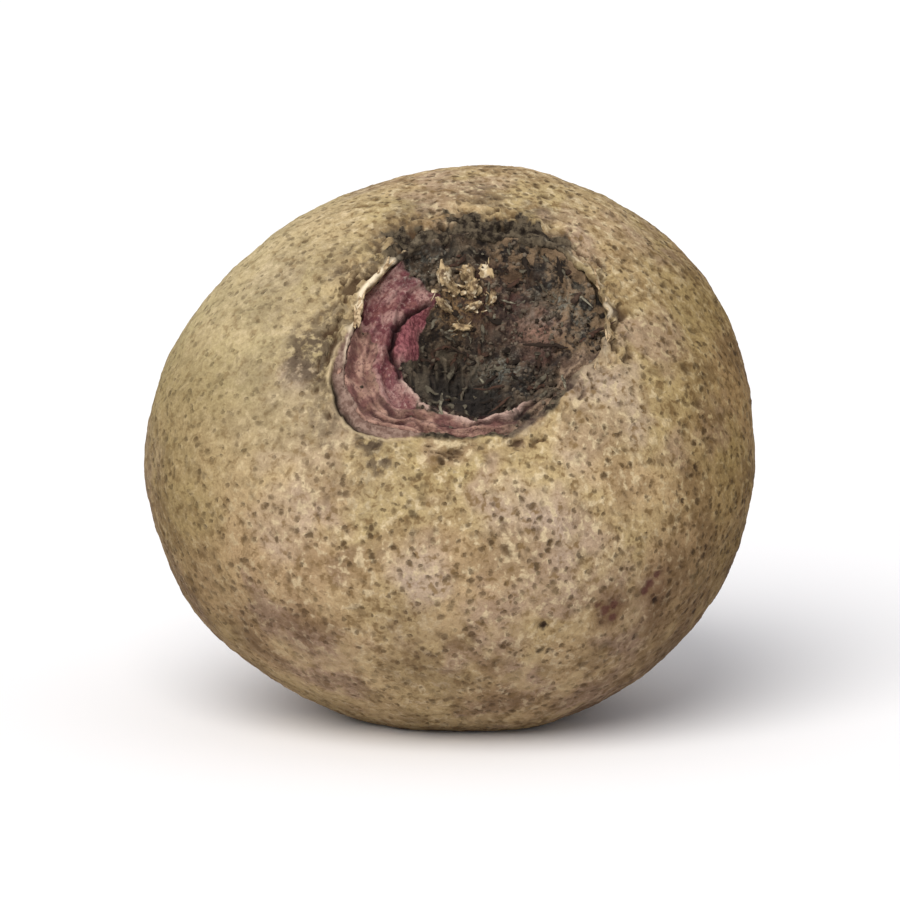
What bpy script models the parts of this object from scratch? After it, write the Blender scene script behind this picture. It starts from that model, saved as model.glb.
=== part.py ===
"""A whole beetroot, dug and topped, as it lies on a table: on a small flat spot of its flank, the topped
crown tipped towards the front and the taproot trailing behind.

The root grew as one piece, so it is one solid. Its form is a turned profile round the crown's axis, with
soft lobes and two rootlet furrows. The crown is a sunk scar: a torn rim of skin, terraces of old leaf
bases down to a hollow, and the stubs of the leaf stalks. Lengths are in metres, +Z is up and -Y is the
front. The origin is on the table, in the middle of the flat spot.
"""

import math

import bmesh
import bpy
import numpy as np

# Body, a turned profile. Heights and depths are measured along the crown's axis from the widest ring.
BODY_RADIUS = 0.0391
CROWN_HEIGHT = 0.0266
ROOT_HEIGHT = 0.0330
CROWN_FULLNESS = 2.3
ROOT_FULLNESS = 2.1

# Two-sided and three-sided swelling of the body, as a share of the radius, and where each is fullest
OVAL_SHARE, OVAL_TURN = 0.035, math.radians(28)
TRIAD_SHARE, TRIAD_TURN = 0.025, math.radians(68)

# How it lies: the way the crown faces, where the widest ring's middle is, and the flat spot's rounded edge
CROWN_ELEVATION = math.radians(44)
CROWN_TO_THE_RIGHT = math.radians(6)
MIDDLE = (-0.0007, 0.0026, 0.0350)
SPOT_EDGE = 0.0004

# Lumps of the skin as pairs of size across and height
LUMPS = ((0.030, 0.00022), (0.011, 0.00010))
LUMP_SEED = 5

# The fuller underside that it lies on, which brings the flat spot under its weight, in the root's own frame
BELLY_PLACE = (0.0008, -0.0182, -0.0287)
BELLY_SIZE = 0.0140
BELLY_HEIGHT = 0.0018

# Furrows down the lower flank, from which the fine rootlets grow
FURROW_TURNS = (math.radians(35), math.radians(215))
FURROW_DEPTH = 0.0009
FURROW_WIDTH = 0.0040

# Rim of the crown scar: a circle with bulges and dents as (height, direction, spread), ragged at the edge
SCAR_RADIUS = 0.0162
SCAR_CENTRE = (0.0005, 0.0008)
RIM_BULGES = (
    (0.0030, math.radians(216), math.radians(24)),
    (0.0018, math.radians(35), math.radians(30)),
    (-0.0014, math.radians(148), math.radians(28)),
    (-0.0018, math.radians(318), math.radians(24)),
)
RIM_RAGGED = 0.00022

# The skin round the rim: a rolled lip, sharpest where it is torn, then faint wrinkles
TORN_TURNS = (math.radians(148), math.radians(12))
TORN_SPREAD = math.radians(32)
LIP_HEIGHT = 0.0008
LIP_WIDTH = 0.0011
WRINKLE_PITCH = 0.0026
WRINKLE_HEIGHT = 0.00016
WRINKLE_REACH = 0.0060

# Wall inside the rim, its width as a share of the way out, and narrower where the rim is torn
WALL_DROP, WALL_WIDTH, TORN_WALL_WIDTH = 0.0017, 0.10, 0.05

# Terraces of old leaf bases: place as a share of the way out to the rim, drop, and width of the slope
TERRACES = (
    (0.86, 0.0007, 0.07),
    (0.74, 0.0010, 0.08),
    (0.58, 0.0012, 0.16),
    (0.40, 0.0008, 0.30),
)
TERRACE_EDGE = 0.00028
TERRACE_WANDER = 0.045

# Inside the scar: the fleshy shelf on the left, the rotted-out hollow and the mound of the growing point
SHELF_TURN, SHELF_SPREAD = math.radians(170), math.radians(38)
SHELF_PLACE, SHELF_WIDTH, SHELF_HEIGHT = 0.66, 0.17, 0.0013
HOLLOW_PLACE, HOLLOW_RADIUS, HOLLOW_DEPTH = (-0.0022, -0.0030), 0.0056, 0.0026
MOUND_PLACE, MOUND_RADIUS, MOUND_HEIGHT = (-0.0008, 0.0076), 0.0040, 0.0022

# Stubs of the leaf stalks, in the spiral in which the leaves grew
STUB_COUNT = 9
STUB_SPIRAL = math.radians(137.5)
STUB_SPACING = 0.0014
STUB_RADIUS = 0.00085
STUB_FLATNESS = 0.55
STUB_HEIGHT = 0.0021
STUB_LEAN = 0.55
STUB_SINK = 0.0016
STUB_SIDES = 8
STUB_SEED = 11

# Taproot
TAIL_LENGTH = 0.0200
NECK_RADIUS = 0.0125
TAIL_RADIUS = 0.0027
TAIL_TIP_SHARE = 0.4
NECK_FALL = 0.0031
TAIL_BEND_FROM = 0.0250
TAIL_RISE = 0.0090
TAIL_SWAY = -0.0050
TAIL_RING_PITCH = 0.0021
TAIL_RING_HEIGHT = 0.00016

# Fine rootlets: how far back along the root each starts, the side on which it grows, and its length
ROOTLETS = (
    (0.0300, math.radians(38), 0.008),
    (0.0330, math.radians(200), 0.007),
    (0.0375, math.radians(20), 0.009),
    (0.0405, math.radians(172), 0.008),
    (0.0440, math.radians(75), 0.006),
    (0.0475, math.radians(140), 0.006),
)
ROOTLET_RADIUS = 0.00055
ROOTLET_SIDES = 5
ROOTLET_STEPS = 6
ROOTLET_SINK = 0.0014
ROOTLET_SEED = 23

# Mesh: points round the widest rings, the reach under which a ring has half as many, and rings a stretch
COLUMNS = 96
HALVING_REACHES = (0.0095, 0.0032)
SCAR_RINGS = 25
SHOULDER_RINGS = 13
SHOULDER_CROWDING = 1.7
FLANK_RINGS = 28
PROFILE_SAMPLES = 800

SKIN_COLOUR = (0.420, 0.310, 0.175, 1.0)
SKIN_ROUGHNESS = 0.75


def clear_scene():
    for old in list(bpy.data.objects):
        bpy.data.objects.remove(old)


def smooth_step(value):
    """0 below 0, 1 above 1, with an S-shaped rise between."""
    share = np.clip(value, 0, 1)
    return share * share * (3 - 2 * share)


def bell(value, width):
    """A bell of height 1 about 0."""
    return np.exp(-((value / width) ** 2))


def turn_gap(turn, centre):
    """The angle from centre to turn, between minus and plus half a turn."""
    return (turn - centre + math.pi) % (2 * math.pi) - math.pi


def waves(points, size, seed):
    """A sum of plane waves about size long in random directions, of mean square 1: the lumps of grown skin."""
    draw = np.random.default_rng(seed)
    count = 18
    ways = draw.normal(size=(count, 3))
    ways /= np.linalg.norm(ways, axis=1, keepdims=True)
    lengths = size * draw.uniform(0.7, 1.5, count)
    shifts = draw.uniform(0, 2 * math.pi, count)
    phases = points @ (ways * (2 * math.pi / lengths)[:, None]).T + shifts
    return np.cos(phases).sum(axis=-1) / math.sqrt(count / 2)


def cap_height(reach):
    """Height of the plain crown over the widest ring, at a distance from the axis: a superellipse."""
    share = np.clip(reach / BODY_RADIUS, 0, 1)
    return CROWN_HEIGHT * (1 - share**CROWN_FULLNESS) ** (1 / CROWN_FULLNESS)


def root_radius(depth):
    """Radius below the widest ring: a superellipse that runs out through a flared neck into the taproot."""
    share = np.clip(depth / ROOT_HEIGHT, 0, 1)
    body = BODY_RADIUS * (1 - share**ROOT_FULLNESS) ** (1 / ROOT_FULLNESS)
    past = np.clip((depth - ROOT_HEIGHT) / TAIL_LENGTH, 0, 1)
    tail = TAIL_RADIUS * (1 - (1 - TAIL_TIP_SHARE) * past)
    neck = tail + (NECK_RADIUS - tail) / (1 + np.exp((depth - ROOT_HEIGHT) / NECK_FALL))
    return (body**4 + neck**4) ** 0.25


def swell(reach, turn):
    """How much the lobes widen the body, as a factor: nothing at the axis, all of it at the widest ring."""
    share = np.clip(reach / BODY_RADIUS, 0, 1)
    oval = OVAL_SHARE * np.cos(2 * (turn - OVAL_TURN)) * share**2
    triad = TRIAD_SHARE * np.cos(3 * (turn - TRIAD_TURN)) * share**3
    return 1 + oval + triad


def scar_rim(turn):
    """Distance of the scar's torn rim from its centre."""
    bulges = sum(height * bell(turn_gap(turn, way), spread) for height, way, spread in RIM_BULGES)
    ragged = np.cos(7 * turn + 0.6) + 0.7 * np.cos(11 * turn + 2.1) + 0.6 * np.cos(17 * turn + 4.0)
    return SCAR_RADIUS + bulges + RIM_RAGGED * ragged


def torn(turn):
    """1 where the rim is a sharp torn edge, falling to 0 where it slopes."""
    return sum(bell(turn_gap(turn, way), TORN_SPREAD) for way in TORN_TURNS)


def wall(out, turn):
    """Height of the wall inside the rim, at a share of the way out to it."""
    width = WALL_WIDTH - (WALL_WIDTH - TORN_WALL_WIDTH) * torn(turn)
    return -WALL_DROP * smooth_step((1 - out) / width)


def terraces(out, turn):
    """Height of the terraces: each steps down inwards, behind a low raised edge, along a wandering circle."""
    height = 0 * out
    for i, (place, drop, width) in enumerate(TERRACES):
        wander = TERRACE_WANDER * np.cos((3 + i) * turn + 1.7 * (i + 1)) * math.sin(math.pi * place)
        inside = place + wander - out
        height = height - drop * smooth_step(inside / width)
        height = height + TERRACE_EDGE * bell(inside + 0.3 * width, 0.4 * width)
    return height


def scar_relief(reach, turn):
    """Height that the scar adds to the plain crown: wall, terraces, fleshy shelf, hollow and mound."""
    out = reach / scar_rim(turn)
    shelf_side = bell(turn_gap(turn, SHELF_TURN), SHELF_SPREAD)
    shelf = SHELF_HEIGHT * shelf_side * bell(out - SHELF_PLACE, SHELF_WIDTH)
    across, up = reach * np.cos(turn), reach * np.sin(turn)
    hollow = HOLLOW_DEPTH * bell(np.hypot(across - HOLLOW_PLACE[0], up - HOLLOW_PLACE[1]), HOLLOW_RADIUS)
    mound = MOUND_HEIGHT * bell(np.hypot(across - MOUND_PLACE[0], up - MOUND_PLACE[1]), MOUND_RADIUS)
    return wall(out, turn) + terraces(out, turn) + shelf - hollow + mound


def collar_relief(past_rim, turn):
    """Height over the skin outside the rim: a rolled lip, highest where the rim is torn, then faint wrinkles."""
    lip = LIP_HEIGHT * (0.35 + 0.65 * torn(turn)) * bell(past_rim, LIP_WIDTH)
    fade = np.exp(-past_rim / WRINKLE_REACH)
    wrinkles = WRINKLE_HEIGHT * np.cos(2 * math.pi * past_rim / WRINKLE_PITCH + 1.5 * np.sin(2 * turn)) * fade
    return lip + wrinkles


def lumps(points):
    """Low lumps all over the skin, and the fuller underside."""
    low = sum(height * waves(points, size, LUMP_SEED + i) for i, (size, height) in enumerate(LUMPS))
    belly = BELLY_HEIGHT * bell(np.linalg.norm(points - np.array(BELLY_PLACE), axis=-1), BELLY_SIZE)
    return low + belly


def furrows(depth, reach, turn):
    """Depth of the two furrows, which deepen down the lower flank."""
    low = smooth_step(depth / ROOT_HEIGHT) * smooth_step(reach / 0.010)
    return FURROW_DEPTH * low * sum(bell(turn_gap(turn, way) * reach, FURROW_WIDTH) for way in FURROW_TURNS)


def scar_ring(share, turn):
    """Points of one ring inside the scar, at a share of the way out to the rim."""
    reach = share * scar_rim(turn)
    across = SCAR_CENTRE[0] + reach * np.cos(turn)
    up = SCAR_CENTRE[1] + reach * np.sin(turn)
    from_axis = np.hypot(across, up)
    widen = swell(from_axis, np.arctan2(up, across))
    height = cap_height(from_axis) + scar_relief(reach, turn)
    height += collar_relief(0.0, turn) * smooth_step((share - 0.92) / 0.08)
    points = np.stack([across * widen, up * widen, height], axis=-1)
    points[:, 2] += lumps(points)
    return points


def raised(reach, turn, height, relief):
    """Points of the plain body, pushed out along its normal by their relief and by the lumps."""
    widen = swell(reach, turn)
    points = np.stack([reach * widen * np.cos(turn), reach * widen * np.sin(turn), height], axis=-1)
    half = CROWN_HEIGHT if height.max() > 0 else ROOT_HEIGHT
    normal = np.stack([reach * np.cos(turn), reach * np.sin(turn), height * (BODY_RADIUS / half) ** 2], axis=-1)
    normal /= np.linalg.norm(normal, axis=-1, keepdims=True)
    return points + normal * (relief + lumps(points))[:, None]


def shoulder_ring(share, turn):
    """Points of one ring between the rim, at share 0, and the widest ring, at share 1."""
    across = SCAR_CENTRE[0] + scar_rim(turn) * np.cos(turn)
    up = SCAR_CENTRE[1] + scar_rim(turn) * np.sin(turn)
    start, way = np.hypot(across, up), np.arctan2(up, across)
    first = np.arctan2(start / BODY_RADIUS, cap_height(start) / CROWN_HEIGHT)
    polar = first + share * (math.pi / 2 - first)
    sine, cosine = np.sin(polar), np.maximum(np.cos(polar), 0)
    scale = (sine**CROWN_FULLNESS + cosine**CROWN_FULLNESS) ** (-1 / CROWN_FULLNESS)
    reach = BODY_RADIUS * sine * scale
    way = way + share * turn_gap(turn, way)
    relief = collar_relief(reach - start, turn) * (1 - share)
    return raised(reach, way, CROWN_HEIGHT * cosine * scale, relief)


def flank_ring(depth, turn):
    """Points of one ring below the widest one, at a depth along the axis, down to the taproot's tip."""
    reach = root_radius(depth) + 0 * turn
    tail_share = float(smooth_step((depth - 0.8 * ROOT_HEIGHT) / 0.008))
    rings = TAIL_RING_HEIGHT * math.cos(2 * math.pi * depth / TAIL_RING_PITCH) * tail_share
    points = raised(reach, turn, -depth + 0 * turn, rings - furrows(depth, reach, turn))
    bend = max(0.0, depth - TAIL_BEND_FROM) / (ROOT_HEIGHT + TAIL_LENGTH - TAIL_BEND_FROM)
    return points + np.array([TAIL_SWAY * bend**2, TAIL_RISE * bend**2, 0.0])


def flank_depths():
    """Depths of the rings below the widest one, evenly spaced along the profile."""
    depth = np.linspace(0, ROOT_HEIGHT + TAIL_LENGTH, PROFILE_SAMPLES)
    reach = root_radius(depth)
    along = np.concatenate([[0], np.cumsum(np.hypot(np.diff(depth), np.diff(reach)))])
    return np.interp(np.linspace(0, along[-1], FLANK_RINGS + 1), along, depth)[1:]


def as_it_lies(points):
    """Turns the root's own frame into the table's, and presses the flat spot onto the table."""
    rise, side = CROWN_ELEVATION, CROWN_TO_THE_RIGHT
    axis = np.array([math.sin(side) * math.cos(rise), -math.cos(side) * math.cos(rise), math.sin(rise)])
    right = np.array([math.cos(side), math.sin(side), 0.0])
    placed = points @ np.stack([right, np.cross(axis, right), axis]) + np.array(MIDDLE)
    height = placed[..., 2]
    rounded = (height + SPOT_EDGE) ** 2 / (4 * SPOT_EDGE)
    placed[..., 2] = np.where(height > SPOT_EDGE, height, np.where(height < -SPOT_EDGE, 0.0, rounded))
    return placed


def circle(count):
    return np.linspace(0, 2 * math.pi, count, endpoint=False)


def ring_turns(reach):
    """Directions of a ring's points: half as many on each of the smaller rings towards a pole."""
    halvings = sum(reach < limit for limit in HALVING_REACHES)
    return circle(COLUMNS // 2**halvings)


def body_rings():
    """Every ring from the crown's middle to the taproot's tip, each an array of points in the root's frame."""
    inner = [i / SCAR_RINGS for i in range(1, SCAR_RINGS + 1)]
    outer = [(i / SHOULDER_RINGS) ** SHOULDER_CROWDING for i in range(1, SHOULDER_RINGS + 1)]
    scar = [scar_ring(share, ring_turns(share * SCAR_RADIUS)) for share in inner]
    shoulder = [shoulder_ring(share, circle(COLUMNS)) for share in outer]
    flank = [flank_ring(depth, ring_turns(float(root_radius(depth)))) for depth in flank_depths()]
    return scar + shoulder + flank


def join_rings(mesh, first, second):
    """Faces between two rings of one size, or between one and another with half or twice its points."""
    if len(first) == len(second):
        for i in range(len(first)):
            j = (i + 1) % len(first)
            mesh.faces.new((first[i], second[i], second[j], first[j]))
        return
    wide, slim = (first, second) if len(first) > len(second) else (second, first)
    for i in range(len(slim)):
        j = (i + 1) % len(slim)
        near, middle, far = wide[2 * i], wide[2 * i + 1], wide[(2 * i + 2) % len(wide)]
        mesh.faces.new((near, slim[i], middle))
        mesh.faces.new((slim[i], slim[j], middle))
        mesh.faces.new((middle, slim[j], far))


def closed_tube(mesh, rings, start, end):
    """A closed skin over a row of rings, drawn to a point at each end."""
    rows = [[mesh.verts.new(point) for point in ring] for ring in rings]
    for first, second in zip(rows, rows[1:]):
        join_rings(mesh, first, second)
    for row, tip in ((rows[0], start), (rows[-1], end)):
        point = mesh.verts.new(tip)
        for i in range(len(row)):
            mesh.faces.new((point, row[i], row[(i + 1) % len(row)]))


def mesh_object(name, mesh, collection):
    """An object from a bmesh, with its faces turned outwards."""
    bmesh.ops.recalc_face_normals(mesh, faces=mesh.faces)
    data = bpy.data.meshes.new(name)
    mesh.to_mesh(data)
    mesh.free()
    made = bpy.data.objects.new(name, data)
    collection.objects.link(made)
    return made


def build_body():
    rings = body_rings()
    middle = scar_ring(0.0, np.zeros(1))[0]
    tip = rings[-1].mean(axis=0) - np.array([0, 0, 0.4 * TAIL_RADIUS])
    mesh = bmesh.new()
    closed_tube(mesh, [as_it_lies(ring) for ring in rings], as_it_lies(middle), as_it_lies(tip))
    return mesh_object("beetroot", mesh, bpy.context.scene.collection)


def sprout(name, path, radii, sides, flatness, collection):
    """A slim closed tube along a path in the root's frame, with an oval section, as an object where it lies."""
    ways = np.gradient(path, axis=0)
    ways /= np.linalg.norm(ways, axis=1, keepdims=True)
    around = np.array([-path[0][1], path[0][0], 0.0])
    thin = np.cross(ways, around)
    thin /= np.linalg.norm(thin, axis=1, keepdims=True)
    wide = np.cross(thin, ways)
    turn = circle(sides)[:, None]
    rings = [
        centre + radius * (np.cos(turn) * w + flatness * np.sin(turn) * t)
        for centre, radius, w, t in zip(path, radii, wide, thin)
    ]
    start = path[0] - 0.3 * radii[0] * ways[0]
    end = path[-1] + 0.5 * radii[-1] * ways[-1]
    mesh = bmesh.new()
    closed_tube(mesh, [as_it_lies(ring) for ring in rings], as_it_lies(start), as_it_lies(end))
    return mesh_object(name, mesh, collection)


def build_stubs(collection):
    """Snapped leaf stalks round the growing point, each leaning outwards, the outer ones wider and shorter."""
    draw = np.random.default_rng(STUB_SEED)
    for i in range(STUB_COUNT):
        turn = i * STUB_SPIRAL + 0.4
        out = STUB_SPACING * math.sqrt(i + 0.5)
        away = np.array([math.cos(turn), math.sin(turn)])
        place = np.array(MOUND_PLACE) + out * away
        way = np.array([math.atan2(place[1], place[0])])
        foot = scar_ring(float(np.hypot(*place) / scar_rim(way)[0]), way)[0]
        lean = np.array([*(away * STUB_LEAN), 1.0])
        tall = STUB_HEIGHT * draw.uniform(0.55, 1.2) * (1 - 0.08 * i)
        steps = np.linspace(-STUB_SINK, tall, 4)[:, None]
        radius = STUB_RADIUS * draw.uniform(0.8, 1.2) * (1 + 0.06 * i)
        radii = radius * np.array([1.15, 1.05, 1.0, 0.8])
        sprout(f"stub_{i}", foot + lean * steps, radii, STUB_SIDES, STUB_FLATNESS, collection)


def build_rootlets(collection):
    """Thin side roots from the furrows and the taproot, each bending down along it."""
    draw = np.random.default_rng(ROOTLET_SEED)
    for i, (depth, turn, length) in enumerate(ROOTLETS):
        foot = flank_ring(depth, np.array([turn]))[0]
        out = np.array([math.cos(turn), math.sin(turn), -0.3])
        curl = np.array([-0.5 * math.sin(turn), 0.5 * math.cos(turn), -0.5]) * draw.uniform(-1, 1)
        steps = np.linspace(0, 1, ROOTLET_STEPS)[:, None]
        path = foot + out * (length * steps - ROOTLET_SINK) + curl * length * steps**2
        radii = ROOTLET_RADIUS * (1 - 0.5 * steps[:, 0])
        sprout(f"rootlet_{i}", path, radii, ROOTLET_SIDES, 1.0, collection)


def fuse(body, collection):
    """Joins the sprouts to the body in one union, and removes them."""
    union = body.modifiers.new("fused", "BOOLEAN")
    union.operation = "UNION"
    union.operand_type = "COLLECTION"
    union.collection = collection
    union.solver = "EXACT"
    graph = bpy.context.evaluated_depsgraph_get()
    fused = bpy.data.meshes.new_from_object(body.evaluated_get(graph))
    body.modifiers.clear()
    body.data = fused
    for sprouted in list(collection.objects):
        bpy.data.objects.remove(sprouted)
    bpy.data.collections.remove(collection)


def skin_material():
    material = bpy.data.materials.new("corky root skin")
    material.use_nodes = True
    shader = material.node_tree.nodes["Principled BSDF"]
    shader.inputs["Base Color"].default_value = SKIN_COLOUR
    shader.inputs["Roughness"].default_value = SKIN_ROUGHNESS
    shader.inputs["Metallic"].default_value = 0.0
    material.diffuse_color = SKIN_COLOUR
    return material


def build():
    clear_scene()
    body = build_body()
    sprouts = bpy.data.collections.new("sprouts")
    bpy.context.scene.collection.children.link(sprouts)
    build_stubs(sprouts)
    build_rootlets(sprouts)
    bpy.context.view_layer.update()
    fuse(body, sprouts)
    body.data.materials.clear()
    body.data.materials.append(skin_material())
    body.data.shade_smooth()


build()
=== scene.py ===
"""How a whole topped beetroot looks: dusty pitted skin, the torn scar where its leaves were cut off, the dry
stubs of the leaf stalks, fine roots and a few crumbs of soil. It lies on a white card, as in a studio.

Lengths are in metres. The root's own frame has its third axis out of the crown, its first one to the right
and its second one up, as the camera sees them; turns are measured round the crown from the right.
"""

import math

import bpy
import numpy as np
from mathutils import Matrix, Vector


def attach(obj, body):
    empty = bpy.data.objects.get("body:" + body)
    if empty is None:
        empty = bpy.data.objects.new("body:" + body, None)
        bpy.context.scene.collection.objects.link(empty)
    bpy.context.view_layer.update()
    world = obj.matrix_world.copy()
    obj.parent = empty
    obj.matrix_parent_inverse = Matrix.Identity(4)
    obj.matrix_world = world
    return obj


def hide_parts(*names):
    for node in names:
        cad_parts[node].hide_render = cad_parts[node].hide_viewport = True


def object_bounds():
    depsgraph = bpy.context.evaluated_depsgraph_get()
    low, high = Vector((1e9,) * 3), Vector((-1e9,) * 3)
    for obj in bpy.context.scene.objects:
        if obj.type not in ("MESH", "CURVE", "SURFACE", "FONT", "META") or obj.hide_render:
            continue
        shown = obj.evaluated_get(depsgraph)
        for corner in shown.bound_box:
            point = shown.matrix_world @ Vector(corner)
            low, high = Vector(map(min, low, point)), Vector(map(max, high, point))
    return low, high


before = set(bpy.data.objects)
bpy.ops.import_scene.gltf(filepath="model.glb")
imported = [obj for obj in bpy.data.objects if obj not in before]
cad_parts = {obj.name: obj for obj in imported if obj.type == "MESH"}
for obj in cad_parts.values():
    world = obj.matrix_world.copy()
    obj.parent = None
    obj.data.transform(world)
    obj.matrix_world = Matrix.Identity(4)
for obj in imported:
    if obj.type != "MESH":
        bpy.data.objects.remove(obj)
low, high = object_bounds()


# The table is a sheet of matt white card that runs back out of sight. A white tent lights it from all round,
# and a broad soft lamp far off above the left front shapes the root. The camera stands a metre off with a
# long lens, a little above the root.
TABLE_SIZE = 12.0
TABLE_DROP = 0.00002
CARD = "#f6f5f6"
CAMERA_RISE = math.radians(11)
CAMERA_DISTANCE = 1.0
LENS_MM, SENSOR_MM = 305.0, 36.0
CENTRE = (-0.0016, 0.0026, 0.0345)
TENT_LIGHT, HORIZON_LIGHT = 0.62, 1.05
HORIZON_FROM, HORIZON_TO = 0.02, 0.05
LAMP_PLACE = (-0.40, -0.84, 1.05)
LAMP_SPREAD = math.radians(50)
LAMP_STRENGTH = 2.45
TENT_COLOUR, LAMP_COLOUR = "#fafbff", "#fffdf9"


def linear(code):
    """Linear colour of an sRGB hex code: its three parts go through the sRGB curve backwards."""
    parts = np.array([int(code[i : i + 2], 16) for i in (1, 3, 5)]) / 255
    return (*np.where(parts > 0.04045, ((parts + 0.055) / 1.055) ** 2.4, parts / 12.92), 1.0)


def plug(tree, node, links):
    """Gives each of a node's inputs, by name or number, a constant or another node's output."""
    for slot, value in links.items():
        if isinstance(value, bpy.types.NodeSocket):
            tree.links.new(value, node.inputs[slot])
        else:
            node.inputs[slot].default_value = value


def add(tree, kind, links=None, **settings):
    """Adds one shader node with its settings, and plugs in its links."""
    made = tree.nodes.new("ShaderNode" + kind)
    for name, value in settings.items():
        setattr(made, name, value)
    plug(tree, made, links or {})
    return made


def new_material(name):
    """An empty shader tree with a Principled surface: the material, its tree and the surface node."""
    material = bpy.data.materials.new(name)
    material.use_nodes = True
    tree = material.node_tree
    return material, tree, tree.nodes["Principled BSDF"]


def aim(thing, place, target):
    """Puts a lamp or camera at a place, facing a target."""
    thing.location = place
    away = Vector(target) - Vector(place)
    thing.rotation_euler = away.to_track_quat("-Z", "Y").to_euler()


# White card: the eye gets nothing but clean white and the root's soft shadow.
card, tree, surface = new_material("matt white card")
plug(tree, surface, {"Base Color": linear(CARD), "Roughness": 1.0, "Specular IOR Level": 0.0})

sheet = bpy.data.meshes.new("table_card")
half = TABLE_SIZE / 2
corners = [(-half, -half, 0), (half, -half, 0), (half, half, 0), (-half, half, 0)]
sheet.from_pydata(corners, [], [(0, 1, 2, 3)])
sheet.materials.append(card)
table = bpy.data.objects.new("table_card", sheet)
table.location = (0, 0, low.z - TABLE_DROP)
bpy.context.scene.collection.objects.link(table)

# The tent is brightest low down, where the card meets it.
tent = bpy.data.worlds.new("white tent")
tent.use_nodes = True
tree = tent.node_tree
upward = add(tree, "SeparateXYZ", {0: add(tree, "TexCoord").outputs["Generated"]}).outputs["Z"]
glow = add(tree, "MapRange", {0: upward, 1: HORIZON_FROM, 2: HORIZON_TO, 3: HORIZON_LIGHT, 4: TENT_LIGHT})
plug(tree, tree.nodes["Background"], {"Color": linear(TENT_COLOUR), "Strength": glow.outputs[0]})
bpy.context.scene.world = tent

lamp_data = bpy.data.lights.new("soft lamp", "SUN")
lamp_data.angle = LAMP_SPREAD
lamp_data.energy = LAMP_STRENGTH
lamp_data.color = linear(LAMP_COLOUR)[:3]
lamp = bpy.data.objects.new("soft_lamp", lamp_data)
bpy.context.scene.collection.objects.link(lamp)
aim(lamp, LAMP_PLACE, CENTRE)

camera_data = bpy.data.cameras.new("camera")
camera_data.lens = LENS_MM
camera_data.sensor_width = SENSOR_MM
camera = bpy.data.objects.new("camera", camera_data)
bpy.context.scene.collection.objects.link(camera)
back = np.array([0.0, -math.cos(CAMERA_RISE), math.sin(CAMERA_RISE)])
aim(camera, tuple(np.array(CENTRE) + CAMERA_DISTANCE * back), CENTRE)
bpy.context.scene.camera = camera
bpy.context.scene.view_settings.view_transform = "Standard"


# The root's skin grew as one closed sheet of dry cork over the whole body, with soft lobes, two furrows
# for the fine roots, and a thin taproot snapped short. Round the crown it is torn and rolls over into the
# scar; below the lip it runs on, out of sight, under the scar's own tissue.
BODY_RADIUS = 0.0391
CROWN_HEIGHT = 0.0266
ROOT_HEIGHT = 0.0330
CROWN_FULLNESS = 2.3
ROOT_FULLNESS = 2.1
OVAL_SHARE, OVAL_TURN = 0.035, math.radians(28)
TRIAD_SHARE, TRIAD_TURN = 0.025, math.radians(68)
CROWN_ELEVATION = math.radians(44)
CROWN_TO_THE_RIGHT = math.radians(6)
MIDDLE = (-0.0007, 0.0026, 0.0350)
SPOT_EDGE = 0.0004
LUMPS = ((0.030, 0.00022), (0.011, 0.00010))
LUMP_SEED = 5
BELLY_PLACE, BELLY_SIZE, BELLY_HEIGHT = (0.0008, -0.0182, -0.0287), 0.0140, 0.0018
FURROW_TURNS = (math.radians(35), math.radians(215))
FURROW_DEPTH, FURROW_WIDTH = 0.0009, 0.0040
TAIL_LENGTH = 0.0200
NECK_RADIUS, NECK_FALL = 0.0125, 0.0031
TAIL_RADIUS, TAIL_TIP_SHARE = 0.0027, 0.4
TAIL_BEND_FROM, TAIL_RISE, TAIL_SWAY = 0.0250, 0.0090, -0.0050
TAIL_RING_PITCH, TAIL_RING_HEIGHT = 0.0021, 0.00016

# The scar's rim, as (height, direction, spread) of its bulges, and where it is torn
SCAR_RADIUS = 0.0162
SCAR_CENTRE = (0.0005, 0.0008)
RIM_BULGES = (
    (0.0030, math.radians(216), math.radians(24)),
    (0.0018, math.radians(35), math.radians(30)),
    (-0.0014, math.radians(148), math.radians(28)),
    (-0.0018, math.radians(318), math.radians(24)),
)
RIM_RAGGED, RIM_FRAYED = 0.00022, 0.00016
FRAYED_TURN, FRAYED_SPREAD = math.radians(20), 0.8
TORN_TURNS = (math.radians(148), math.radians(12))
TORN_SPREAD = math.radians(32)
LIP_HEIGHT, LIP_WIDTH = 0.0006, 0.0008
WRINKLE_PITCH, WRINKLE_HEIGHT, WRINKLE_REACH = 0.0026, 0.00016, 0.0060

# How the torn edge rolls in: the roll's radius where torn and where not, and where it ends under the scar
ROLL_RADIUS, SOFT_ROLL_RADIUS = 0.00022, 0.00080
ROLL_TURN, ROLL_LENGTH = math.radians(150), 0.0014
TUCK_OUT, TUCK_DOWN = 0.0004, 0.0026

# Fine relief of the skin: pits as (spacing, share of it that a pit takes, depth), grain as (size, height)
PITS = ((0.0027, 0.26, 0.00020), (0.0017, 0.28, 0.00012))
PIT_RIM, SMOOTH_LIP = 0.30, 0.0012
SKIN_GRAIN = ((0.0050, 0.00014), (0.0024, 0.00010), (0.0011, 0.00008))
ROOT_LINE_DEPTH, ROOT_LINE_PITCH, ROOT_LINE_LENGTH = 0.00026, 0.00062, 0.0026
NECK_WRINKLE, POCK_DEPTH = 0.00022, 0.00035

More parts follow.
